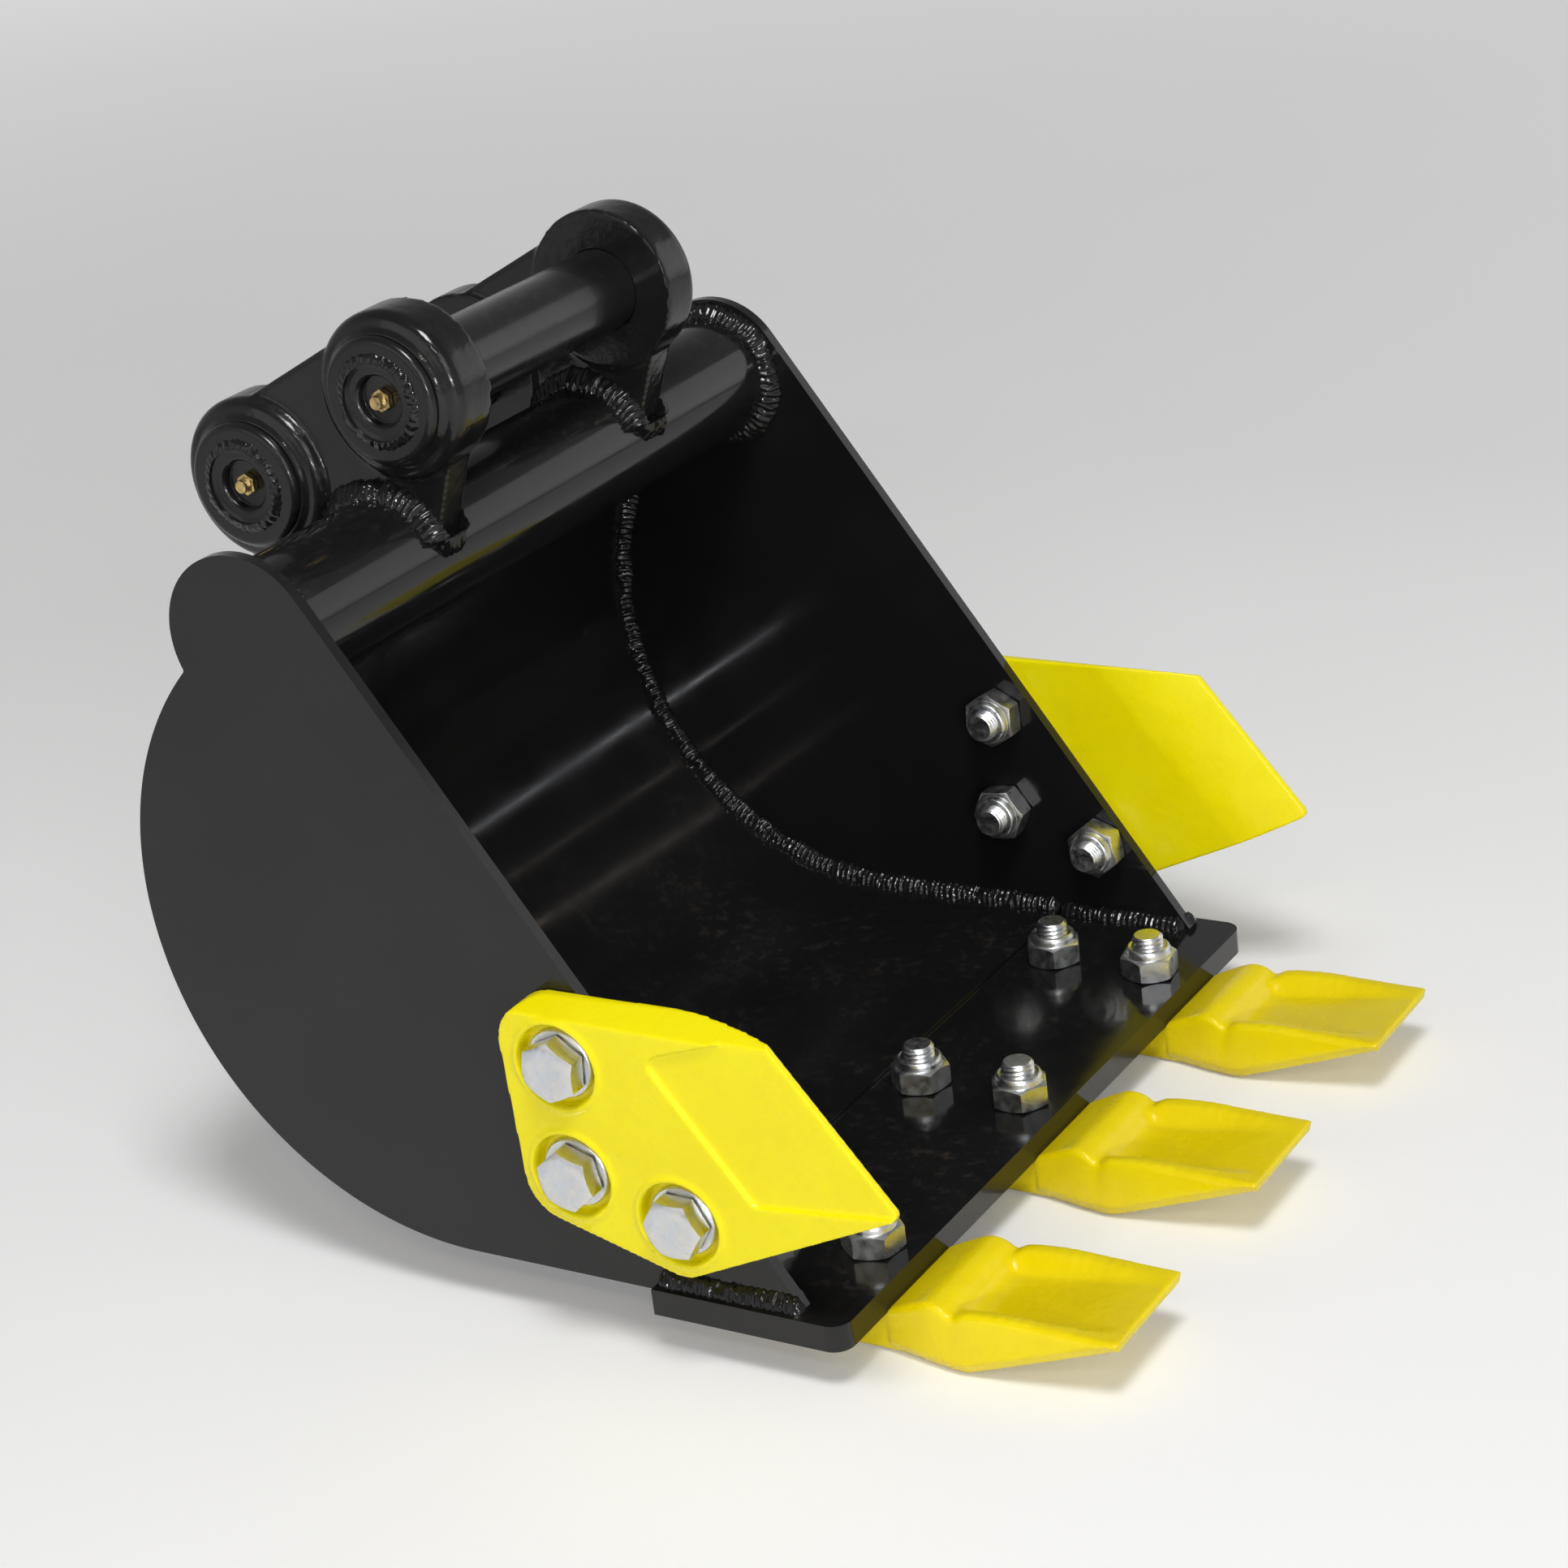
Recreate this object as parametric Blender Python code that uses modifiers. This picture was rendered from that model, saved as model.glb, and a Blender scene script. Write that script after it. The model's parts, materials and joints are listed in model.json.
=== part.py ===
"""Digging bucket of a mini excavator, with its ears, pins, bolt-on teeth and side cutters.

Design frame (metres): X across the bucket with the operator's left at -X, Y from the teeth (-Y)
to the back (+Y), Z up. The design zero is the middle of the cutting edge's front top edge, and
an empty carries all parts so that the world origin is the bottom centre of the whole bucket.
"""
import math

import bmesh
import bpy
from mathutils import Vector

OBJECT_NAME = "excavator_bucket"

# Clearances
GAP = 0.0003                 # between faces that touch, or that a weld bead joins
FIT_GAP = 0.0003             # radial, between a pin and its bore

# Cutting edge
LIP_OVERHANG = 0.007         # beyond each side plate
LIP_DEPTH = 0.084
LIP_THICKNESS = 0.011
LIP_CORNER_RADIUS = 0.008

# Welded shell
SHELL_WIDTH = 0.346          # over the side plates' outer faces
SIDE_THICKNESS = 0.005
FRONT_EDGE_Y = 0.0205        # foot of the side plate's front edge, on the cutting edge
FLOOR_DROP = 0.0045          # side plate's underside below the cutting edge's top
BACK_RADIUS = 0.1375         # side plate's round back
BACK_Y = 0.171
LOBE_MARGIN = 0.0080         # side plate's lobe beyond the tube's outside
WRAPPER_THICKNESS = 0.005
WRAPPER_INSET = 0.0010       # side plate's edge beyond the wrapper
TUBE_RADIUS = 0.0270
TUBE_WALL = 0.008
TUBE_INSET = 0.0076          # tube's axis inside the round back's edge
TUBE_ANGLE = 60.5            # degrees above the level through the round back's centre

# Ears and pins
PIN_RADIUS = 0.0175
ARM_PIN_ANGLE = 103.7        # degrees, pin's direction from the tube's axis
ARM_BOSS_RISE = 0.0110       # between the tube and the boss
LINK_PIN_ANGLE = 28.1
LINK_BOSS_RISE = 0.0048
EAR_GAP = 0.128              # between the two ears
BOSS_LENGTH = 0.022
BOSS_RADIUS = 0.034
BOSS_CHAMFER = 0.004
BOSS_COLLAR_RADIUS = 0.0275
BOSS_COLLAR_HEIGHT = 0.002
WEB_THICKNESS = 0.015
WEB_SET_BACK = 0.0015        # web's inner face behind the boss's inner face
WEB_EDGE_STEP = 0.0045       # web's outline inside the boss's
PIN_HEAD_RADIUS = 0.026
PIN_HEAD_HEIGHT = 0.005
PIN_RIM_RADIUS = 0.0175
PIN_RIM_WIDTH = 0.003
PIN_RIM_HEIGHT = 0.0012
PIN_EDGE_BREAK = 0.0008
PIN_CHAMFER = 0.0015
PIN_RECESS_RADIUS = 0.010
PIN_RECESS_DEPTH = 0.007
GREASE_HOLE_RADIUS = 0.0034
GREASE_HOLE_DEPTH = 0.022
NIPPLE_SHANK_RADIUS = 0.0030
NIPPLE_SHANK_LENGTH = 0.008
NIPPLE_HEX = 0.008           # across flats
NIPPLE_HEX_HEIGHT = 0.0025
NIPPLE_NECK_RADIUS = 0.0020
NIPPLE_BALL_RADIUS = 0.0030
NIPPLE_TIP_RADIUS = 0.0022
NIPPLE_SUNK = 0.0010         # tip below the head's rim
END_WASHER_RADIUS = 0.0225
END_WASHER_THICKNESS = 0.008
END_BOLT_DIAMETER = 0.012
END_BOLT_HEX = 0.018
END_BOLT_HEAD = 0.0075
END_BOLT_REACH = 0.026       # thread inside the pin
END_BOLT_SPARE = 0.004       # hole deeper than the thread

# M14 fasteners
BOLT_DIAMETER = 0.014
BOLT_HOLE_CLEARANCE = 0.0006
NUT_CLEARANCE = 0.0005       # radial, nuts and washers on their bolts
BOLT_HEX = 0.022
BOLT_HEAD = 0.0088
BOLT_TIP_OUT = 0.005         # thread beyond the nut
THREAD_CHAMFER = 0.0015
WASHER_RADIUS = 0.014
WASHER_THICKNESS = 0.0025
NUT_HEX = 0.022
NUT_HEIGHT = 0.0100
NUT_COLLAR_WALL = 0.0028     # round the thread
NUT_COLLAR_HEIGHT = 0.0035
NUT_COLLAR_CHAMFER = 0.0018

# Teeth
TOOTH_INSET = 0.057          # outer tooth's middle from the cutting edge's end
FRONT_BOLT_Y = 0.0185
REAR_BOLT_MARGIN = 0.019     # ahead of the cutting edge's rear
TOOTH_REACH = 0.0975         # tip ahead of the cutting edge
TOOTH_DEPTH = 0.028          # flat underside below the cutting edge's top
TOOTH_TIP_Z = -0.0045
TOOTH_TIP_THICKNESS = 0.004
TOOTH_TIP_WIDTH = 0.057
STRAP_WIDTH = 0.050
STRAP_STEP = 0.0006          # strap's underside above the tooth's
STRAP_REAR_THICKNESS = 0.010
STRAP_THIN_Y = 0.036         # where the underside steps up
STRAP_RAMP = 0.012           # length of that step
STRAP_OVERRUN = 0.004        # behind the cutting edge
STRAP_ROOT = 0.004           # inside the tooth's body
STRAP_END_RADIUS = 0.012
SUNK_HEAD_RADIUS = 0.0125
SUNK_HEAD_CONE = 0.0055
SUNK_HEAD_SINK = 0.0008      # head below the strap's underside

# Side cutters, places as (Y, Z) pairs
CUTTER_BOLTS = ((0.107, 0.095), (0.107, 0.049), (0.061, 0.037))
CUTTER_REAR_TOP = (0.133, 0.119)
CUTTER_FRONT_TOP = (0.018, 0.121)
CUTTER_TIP = (-0.034, 0.056)
CUTTER_HEEL = (0.061, 0.013)
CUTTER_REAR_LOW = (0.129, 0.032)
CUTTER_THICKNESS = 0.014
CUTTER_EDGE = 0.003
CUTTER_POCKET_DEPTH = 0.002
CUTTER_TOP_SLOPE = 0.006
CUTTER_BLADE_RUN = 0.022     # width of the taper behind the thin blade
BOLT_SEAT_RADIUS = 0.0165
BOLT_SEAT_DEPTH = 0.005

# Cutting tools reach this far past what they cut
SPARE = 0.01

# Facets
ROUND = 28
MEDIUM_ROUND = 24
SMALL_ROUND = 12

BLACK_PAINT = ((0.021, 0.021, 0.022), 0.30, 0.0)
YELLOW_PAINT = ((0.86, 0.70, 0.0), 0.35, 0.0)
ZINC = ((0.62, 0.64, 0.66), 0.32, 1.0)
BRASS = ((0.70, 0.52, 0.22), 0.35, 1.0)



def polar(centre, distance, degrees):
    """The point at a distance and angle from a centre, both in the Y-Z plane."""
    angle = math.radians(degrees)
    return (centre[0] + distance * math.cos(angle), centre[1] + distance * math.sin(angle))


# Worked out from the sizes above; places are (Y, Z) pairs
LIP_LENGTH = SHELL_WIDTH + 2 * LIP_OVERHANG
BACK = (BACK_Y, BACK_RADIUS - FLOOR_DROP)
TUBE = polar(BACK, BACK_RADIUS - TUBE_INSET, TUBE_ANGLE)
ARM_PIN = polar(TUBE, TUBE_RADIUS + ARM_BOSS_RISE + BOSS_RADIUS, ARM_PIN_ANGLE)
LINK_PIN = polar(TUBE, TUBE_RADIUS + LINK_BOSS_RISE + BOSS_RADIUS, LINK_PIN_ANGLE)
LOBE_RADIUS = TUBE_RADIUS + LOBE_MARGIN
WRAPPER_RADIUS = BACK_RADIUS - WRAPPER_INSET
WEB_RADIUS = BOSS_RADIUS - WEB_EDGE_STEP
SIDE_INNER_X = SHELL_WIDTH / 2 - SIDE_THICKNESS
CUTTER_INNER_X = SHELL_WIDTH / 2 + GAP
CUTTER_OUTER_X = CUTTER_INNER_X + CUTTER_THICKNESS
EAR_INNER_X = EAR_GAP / 2
EAR_OUTER_X = EAR_INNER_X + BOSS_LENGTH
BOLT_HOLE_RADIUS = BOLT_DIAMETER / 2 + BOLT_HOLE_CLEARANCE
NUT_COLLAR_RADIUS = BOLT_DIAMETER / 2 + NUT_COLLAR_WALL
TOOTH_SPACING = LIP_LENGTH / 2 - TOOTH_INSET
TOOTH_BOLT_Y = (FRONT_BOLT_Y, LIP_DEPTH - REAR_BOLT_MARGIN)
STRAP_TOP_Z = -LIP_THICKNESS - GAP
STRAP_END_Y = LIP_DEPTH + STRAP_OVERRUN
REAR_Y = max(LINK_PIN[0] + BOSS_RADIUS, BACK_Y + BACK_RADIUS)
DATUM = Vector((0.0, (TOOTH_REACH - REAR_Y) / 2, TOOTH_DEPTH))


# ---------------------------------------------------------------- scene and helpers

def new_collection(name):
    group = bpy.data.collections.new(name)
    bpy.context.scene.collection.children.link(group)
    return group


def clear_scene():
    for old in list(bpy.data.objects):
        bpy.data.objects.remove(old, do_unlink=True)
    for old in list(bpy.data.collections):
        bpy.data.collections.remove(old)


def paint(obj, look):
    """Give the object its own Principled material."""
    colour, roughness, metallic = look
    material = bpy.data.materials.new(obj.name + "_finish")
    material.use_nodes = True
    shader = material.node_tree.nodes["Principled BSDF"]
    shader.inputs["Base Color"].default_value = (*colour, 1.0)
    shader.inputs["Roughness"].default_value = roughness
    shader.inputs["Metallic"].default_value = metallic
    material.diffuse_color = (*colour, 1.0)
    obj.data.materials.clear()
    obj.data.materials.append(material)


def link_part(name, mesh, look, location=(0, 0, 0), rotation=(0, 0, 0), parent=None):
    """One sub-part: a named object under the datum empty, or under a pin's own empty."""
    obj = bpy.data.objects.new(name, mesh)
    PARTS.objects.link(obj)
    obj.parent = parent or DATUM_EMPTY
    obj.location = location
    obj.rotation_euler = rotation
    paint(obj, look)
    return obj


def evaluated_mesh(obj, name):
    """The object's final mesh as its own data, with loose caps welded and the object removed."""
    bpy.context.view_layer.update()
    graph = bpy.context.evaluated_depsgraph_get()
    mesh = bpy.data.meshes.new_from_object(obj.evaluated_get(graph), depsgraph=graph)
    mesh.name = name
    work = bmesh.new()
    work.from_mesh(mesh)
    bmesh.ops.remove_doubles(work, verts=work.verts, dist=0.000005)
    bmesh.ops.recalc_face_normals(work, faces=work.faces)
    if work.calc_volume(signed=True) < 0:
        bmesh.ops.reverse_faces(work, faces=work.faces)
    work.to_mesh(mesh)
    work.free()
    bpy.data.objects.remove(obj, do_unlink=True)
    return mesh


def smooth(mesh, angle=35.0):
    mesh.shade_smooth()
    mesh.set_sharp_from_angle(angle=math.radians(angle))
    return mesh


def arc(centre, radius, start, end, steps):
    """Points on an arc, angles in degrees from the first axis towards the second."""
    points = []
    for i in range(steps + 1):
        angle = math.radians(start + (end - start) * i / steps)
        points.append((centre[0] + radius * math.cos(angle), centre[1] + radius * math.sin(angle)))
    return points


def ring(centre, radius, steps):
    return arc(centre, radius, 0, 360, steps)[:-1]


def rounded(corners, radii, steps=5):
    """A closed outline with its corners rounded, given as points and one radius each."""
    points = []
    count = len(corners)
    for i, (corner, radius) in enumerate(zip(corners, radii)):
        here = Vector(corner)
        back = (Vector(corners[i - 1]) - here).normalized()
        ahead = (Vector(corners[(i + 1) % count]) - here).normalized()
        if radius == 0:
            points.append(tuple(here))
            continue
        half = back.angle(ahead) / 2
        centre = here + (back + ahead).normalized() * radius / math.sin(half)
        start = here + back * radius / math.tan(half) - centre
        end = here + ahead * radius / math.tan(half) - centre
        for k in range(steps + 1):
            direction = start.lerp(end, k / steps).normalized()
            points.append(tuple(centre + direction * radius))
    return points


def slab_mesh(name, outline, thickness, holes=()):
    """A flat piece from its 2D outline and holes, centred on its own XY plane."""
    curve = bpy.data.curves.new(name, "CURVE")
    curve.dimensions = "2D"
    curve.fill_mode = "BOTH"
    curve.extrude = thickness / 2
    for loop in (outline, *holes):
        spline = curve.splines.new("POLY")
        spline.points.add(len(loop) - 1)
        for point, (x, y) in zip(spline.points, loop):
            point.co = (x, y, 0.0, 1.0)
        spline.use_cyclic_u = True
    obj = bpy.data.objects.new(name, curve)
    bpy.context.scene.collection.objects.link(obj)
    mesh = evaluated_mesh(obj, name)
    bpy.data.curves.remove(curve)
    return mesh


def turned_mesh(name, profile, steps, closed=False):
    """A turned piece about local Z from (radius, height) points, outer side top to bottom."""
    mesh = bpy.data.meshes.new(name)
    edges = [(i, i + 1) for i in range(len(profile) - 1)]
    if closed:
        edges.append((len(profile) - 1, 0))
    mesh.from_pydata([(radius, 0.0, height) for radius, height in profile], edges, [])
    obj = bpy.data.objects.new(name, mesh)
    bpy.context.scene.collection.objects.link(obj)
    screw = obj.modifiers.new("turn", "SCREW")
    screw.angle = math.tau
    screw.steps = steps
    screw.render_steps = steps
    screw.use_merge_vertices = True
    screw.merge_threshold = 0.000005
    result = evaluated_mesh(obj, name)
    bpy.data.meshes.remove(mesh)
    return result


def hex_mesh(name, across_flats, bottom, top):
    """A hexagon prism on its own Z."""
    radius = across_flats / math.sqrt(3)
    work = bmesh.new()
    bmesh.ops.create_cone(work, cap_ends=True, segments=6, radius1=radius, radius2=radius,
                          depth=top - bottom)
    bmesh.ops.translate(work, verts=work.verts, vec=(0, 0, (top + bottom) / 2))
    mesh = bpy.data.meshes.new(name)
    work.to_mesh(mesh)
    work.free()
    return mesh


def rod_mesh(name, radius, bottom, top, steps):
    """A plain round rod on its own Z."""
    return turned_mesh(name, [(0, top), (radius, top), (radius, bottom), (0, bottom)], steps)


def combined(name, base, joins=(), cuts=(), solver="EXACT"):
    """One closed mesh from a base mesh and Booleans with the other meshes."""
    obj = bpy.data.objects.new(name, base)
    bpy.context.scene.collection.objects.link(obj)
    helpers = []
    for kind, meshes in (("UNION", joins), ("DIFFERENCE", cuts)):
        for tool in meshes:
            helper = bpy.data.objects.new("tool", tool)
            CUTTERS.objects.link(helper)
            helper.hide_render = True
            helper.display_type = "WIRE"
            boolean = obj.modifiers.new(kind.lower(), "BOOLEAN")
            boolean.operation = kind
            boolean.solver = solver
            boolean.object = helper
            helpers.append(helper)
    mesh = evaluated_mesh(obj, name)
    for helper in helpers:
        bpy.data.objects.remove(helper, do_unlink=True)
    return mesh


def shifted(mesh, x=0.0, y=0.0, z=0.0):
    """Move a mesh inside its own frame."""
    for vertex in mesh.vertices:
        vertex.co += Vector((x, y, z))
    return mesh


def mirrored_in_x(mesh, name):
    """The other hand of a mesh modelled in design coordinates."""
    work = bmesh.new()
    work.from_mesh(mesh)
    bmesh.ops.scale(work, vec=(-1, 1, 1), verts=work.verts)
    bmesh.ops.reverse_faces(work, faces=work.faces)
    copy = bpy.data.meshes.new(name)
    work.to_mesh(copy)
    work.free()
    return smooth(copy)


def along_x(mesh, x=0.0, y=0.0, z=0.0):
    """Turn a mesh so that its own x, y, z become design Y, Z, X, then place it."""
    for vertex in mesh.vertices:
        u, v, w = vertex.co
        vertex.co = (w + x, u + y, v + z)
    return mesh


# ---------------------------------------------------------------- welded shell

def meeting_angles():
    """Where the lobe's circle meets the round back: its angle at the lobe and at the back."""
    apart = BACK_RADIUS - TUBE_INSET
    along = (BACK_RADIUS ** 2 - LOBE_RADIUS ** 2 + apart ** 2) / (2 * apart)
    at_back = TUBE_ANGLE - math.degrees(math.acos(along / BACK_RADIUS))
    y, z = polar(BACK, BACK_RADIUS, at_back)
    at_lobe = math.degrees(math.atan2(z - TUBE[1], y - TUBE[0]))
    return at_lobe, at_back


def front_edge_angle():
    """Slope of the side plate's front edge, which runs tangent to the lobe."""
    y = TUBE[0] - FRONT_EDGE_Y
    z = TUBE[1]
    return math.degrees(math.atan2(z, y) + math.asin(LOBE_RADIUS / math.hypot(y, z)))


def side_outline():
    at_lobe, at_back = meeting_angles()
    points = [(FRONT_EDGE_Y, GAP), (LIP_DEPTH + GAP, GAP), (LIP_DEPTH + GAP, -FLOOR_DROP)]
    points += arc(BACK, BACK_RADIUS, -90, at_back, 28)
    points += arc(TUBE, LOBE_RADIUS, at_lobe, front_edge_angle() + 90, 20)[1:]
    return points


def make_side_plates():
    holes = [ring(bolt, BOLT_HOLE_RADIUS, SMALL_ROUND) for bolt in CUTTER_BOLTS]
    middle_x = SHELL_WIDTH / 2 - SIDE_THICKNESS / 2
    mesh = smooth(along_x(slab_mesh("side_plate", side_outline(), SIDE_THICKNESS, holes)))
    link_part("side_plate_left", mesh, BLACK_PAINT, (-middle_x, 0, 0))
    link_part("side_plate_right", mesh.copy(), BLACK_PAINT, (middle_x, 0, 0))


def wrapper_end_angle():
    """The wrapper's upper end stops a gap short of the tube, at its inner corner."""
    apart = BACK_RADIUS - TUBE_INSET
    near = TUBE_RADIUS + GAP
    angles = []
    for radius in (WRAPPER_RADIUS, WRAPPER_RADIUS - WRAPPER_THICKNESS):
        cosine = (radius ** 2 + apart ** 2 - near ** 2) / (2 * radius * apart)
        angles.append(TUBE_ANGLE - math.degrees(math.acos(cosine)))
    return min(angles)


def make_wrapper():
    end = wrapper_end_angle()
    outer = arc(BACK, WRAPPER_RADIUS, -90, end, 28)
    inner = arc(BACK, WRAPPER_RADIUS - WRAPPER_THICKNESS, end, -90, 28)
    front = LIP_DEPTH + GAP
    bottom = BACK[1] - WRAPPER_RADIUS
    outline = [(front, bottom)] + outer + inner + [(front, bottom + WRAPPER_THICKNESS)]
    width = 2 * (SIDE_INNER_X - GAP)
    link_part("wrapper_plate", smooth(along_x(slab_mesh("wrapper", outline, width))), BLACK_PAINT)


def make_top_tube():
    outside = ring((0, 0), TUBE_RADIUS, ROUND)
    bore = ring((0, 0), TUBE_RADIUS - TUBE_WALL, SMALL_ROUND)
    mesh = along_x(slab_mesh("top_tube", outside, 2 * (SIDE_INNER_X - GAP), [bore]))
    link_part("top_tube", smooth(mesh), BLACK_PAINT, (0, *TUBE))


def tooth_places():
    return (("left", -TOOTH_SPACING), ("middle", 0.0), ("right", TOOTH_SPACING))


def make_cutting_edge():
    half = LIP_LENGTH / 2
    corners = [(-half, 0), (half, 0), (half, LIP_DEPTH), (-half, LIP_DEPTH)]
    outline = rounded(corners, (LIP_CORNER_RADIUS, LIP_CORNER_RADIUS, 0, 0))
    holes = []
    for _, x in tooth_places():
        holes += [ring((x, y), BOLT_HOLE_RADIUS, SMALL_ROUND) for y in TOOTH_BOLT_Y]
    mesh = slab_mesh("cutting_edge", outline, LIP_THICKNESS, holes)
    link_part("cutting_edge", smooth(mesh), BLACK_PAINT, (0, 0, -LIP_THICKNESS / 2))


# ---------------------------------------------------------------- ears

def web_outline():
    """Cast web: round both bosses, down the front to the toe, and a saddle on tube and back."""
    slope = math.degrees(math.atan2(LINK_PIN[1] - ARM_PIN[1], LINK_PIN[0] - ARM_PIN[0]))
    points = arc(LINK_PIN, WEB_RADIUS, -45, slope + 90, 10)
    points += arc(ARM_PIN, WEB_RADIUS, slope + 90, 214, 12)
    points += arc(TUBE, TUBE_RADIUS + GAP, 160, -15, 15)
    points += arc(BACK, WRAPPER_RADIUS + GAP, wrapper_end_angle(), 35, 4)
    return points


def boss_mesh():
    """Round boss on its own Z: inner face at 0, chamfered outer face, low collar."""
    top = BOSS_LENGTH
    collar = top + BOSS_COLLAR_HEIGHT
    profile = [(0, collar), (BOSS_COLLAR_RADIUS - BOSS_COLLAR_HEIGHT, collar),
               (BOSS_COLLAR_RADIUS, top), (BOSS_RADIUS - BOSS_CHAMFER, top),
               (BOSS_RADIUS, top - BOSS_CHAMFER), (BOSS_RADIUS, 0), (0, 0)]
    return turned_mesh("boss", profile, ROUND)


def bore_tool():
    return rod_mesh("bore", PIN_RADIUS + FIT_GAP, -SPARE, BOSS_LENGTH + BOSS_COLLAR_HEIGHT + SPARE,
                    ROUND)


def make_ears():
    web_x = EAR_INNER_X + WEB_SET_BACK + WEB_THICKNESS / 2
    web = along_x(slab_mesh("web", web_outline(), WEB_THICKNESS), web_x)
    pins = (ARM_PIN, LINK_PIN)
    bosses = [along_x(boss_mesh(), EAR_INNER_X, *pin) for pin in pins]
    bores = [along_x(bore_tool(), EAR_INNER_X, *pin) for pin in pins]
    right = smooth(combined("ear", web, joins=bosses, cuts=bores, solver="MANIFOLD"), 30)
    link_part("ear_right", right, BLACK_PAINT)
    link_part("ear_left", mirrored_in_x(right, "ear_left"), BLACK_PAINT)


# ---------------------------------------------------------------- pins

def pin_mesh():
    """Pin on its own Z, top to bottom: threaded end, shank, head with rim, recess, grease hole."""
    end = EAR_OUTER_X + BOSS_COLLAR_HEIGHT + GAP
    seat = -EAR_OUTER_X - BOSS_COLLAR_HEIGHT - GAP
    face = seat - PIN_HEAD_HEIGHT
    rim = face - PIN_RIM_HEIGHT
    floor = rim + PIN_RECESS_DEPTH
    thread = END_BOLT_DIAMETER / 2 + GAP
    thread_end = end - END_BOLT_REACH - END_BOLT_SPARE
    profile = [(0, thread_end), (thread, thread_end),
               (thread, end), (PIN_RADIUS - PIN_CHAMFER, end), (PIN_RADIUS, end - PIN_CHAMFER),
               (PIN_RADIUS, seat), (PIN_HEAD_RADIUS, seat),
               (PIN_HEAD_RADIUS, face + PIN_CHAMFER), (PIN_HEAD_RADIUS - PIN_CHAMFER, face),
               (PIN_RIM_RADIUS, face), (PIN_RIM_RADIUS - PIN_EDGE_BREAK, rim),
               (PIN_RIM_RADIUS - PIN_RIM_WIDTH, rim),
               (PIN_RECESS_RADIUS + PIN_EDGE_BREAK, face),
               (PIN_RECESS_RADIUS, face + PIN_EDGE_BREAK),
               (PIN_RECESS_RADIUS, floor), (GREASE_HOLE_RADIUS, floor),
               (GREASE_HOLE_RADIUS, floor + GREASE_HOLE_DEPTH), (0, floor + GREASE_HOLE_DEPTH)]
    return turned_mesh("pin", profile, ROUND)


def nipple_mesh():
    """Grease nipple on its own Z: threaded shank above, hexagon on the recess floor, tip below."""
    face = -EAR_OUTER_X - BOSS_COLLAR_HEIGHT - GAP - PIN_HEAD_HEIGHT - PIN_RIM_HEIGHT
    seat = face + PIN_RECESS_DEPTH - GAP
    end = seat + NIPPLE_SHANK_LENGTH
    under = seat - NIPPLE_HEX_HEIGHT
    tip = seat - PIN_RECESS_DEPTH + NIPPLE_SUNK
    ball = tip + (NIPPLE_BALL_RADIUS - NIPPLE_NECK_RADIUS)
    body = [(0, end), (NIPPLE_SHANK_RADIUS, end), (NIPPLE_SHANK_RADIUS, seat - GAP),
            (NIPPLE_NECK_RADIUS, under - GAP), (NIPPLE_NECK_RADIUS, ball + GAP),
            (NIPPLE_BALL_RADIUS, ball), (NIPPLE_TIP_RADIUS, tip), (0, tip)]
    nut = hex_mesh("nipple_hex", NIPPLE_HEX, under, seat)
    return combined("nipple", nut, joins=[turned_mesh("nipple_body", body, SMALL_ROUND)])


def disc_mesh(name, hole, outer, bottom, thickness, steps):
    """A flat ring on its own Z."""
    top = bottom + thickness
    profile = [(hole, top), (outer, top), (outer, bottom), (hole, bottom)]
    return turned_mesh(name, profile, steps, closed=True)


def bolt_mesh(name, hexagon, head, diameter, length):
    """Hex bolt on its own Z: underside of the head at 0, head above, shank below."""
    radius = diameter / 2
    shank = [(0, head / 2), (radius, head / 2), (radius, THREAD_CHAMFER - length),
             (radius - THREAD_CHAMFER, -length), (0, -length)]
    top = hex_mesh(name + "_head", hexagon, 0.0, head)
    return combined(name, top, joins=[turned_mesh(name + "_shank", shank, SMALL_ROUND)])


def make_pins():
    end = EAR_OUTER_X + BOSS_COLLAR_HEIGHT + GAP
    washer_x = end + GAP
    bolt_x = washer_x + END_WASHER_THICKNESS + GAP
    length = END_BOLT_REACH + END_WASHER_THICKNESS + 2 * GAP
    hole = END_BOLT_DIAMETER / 2 + GAP
    meshes = (("", pin_mesh(), BLACK_PAINT),
              ("_nipple", nipple_mesh(), BRASS),
              ("_end_washer", disc_mesh("end_washer", hole, END_WASHER_RADIUS, washer_x,
                                        END_WASHER_THICKNESS, ROUND), ZINC),
              ("_end_bolt", shifted(bolt_mesh("end_bolt", END_BOLT_HEX, END_BOLT_HEAD,
                                              END_BOLT_DIAMETER, length), z=bolt_x), ZINC))
    meshes = [(suffix, smooth(along_x(mesh)), look) for suffix, mesh, look in meshes]
    for name, place in (("arm_pin", ARM_PIN), ("link_pin", LINK_PIN)):
        axis = bpy.data.objects.new(name + "_axis", None)
        PARTS.objects.link(axis)
        axis.parent = DATUM_EMPTY
        axis.location = (0, *place)
        for suffix, mesh, look in meshes:
            link_part(name + suffix, mesh.copy(), look, parent=axis)


# ---------------------------------------------------------------- teeth

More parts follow.
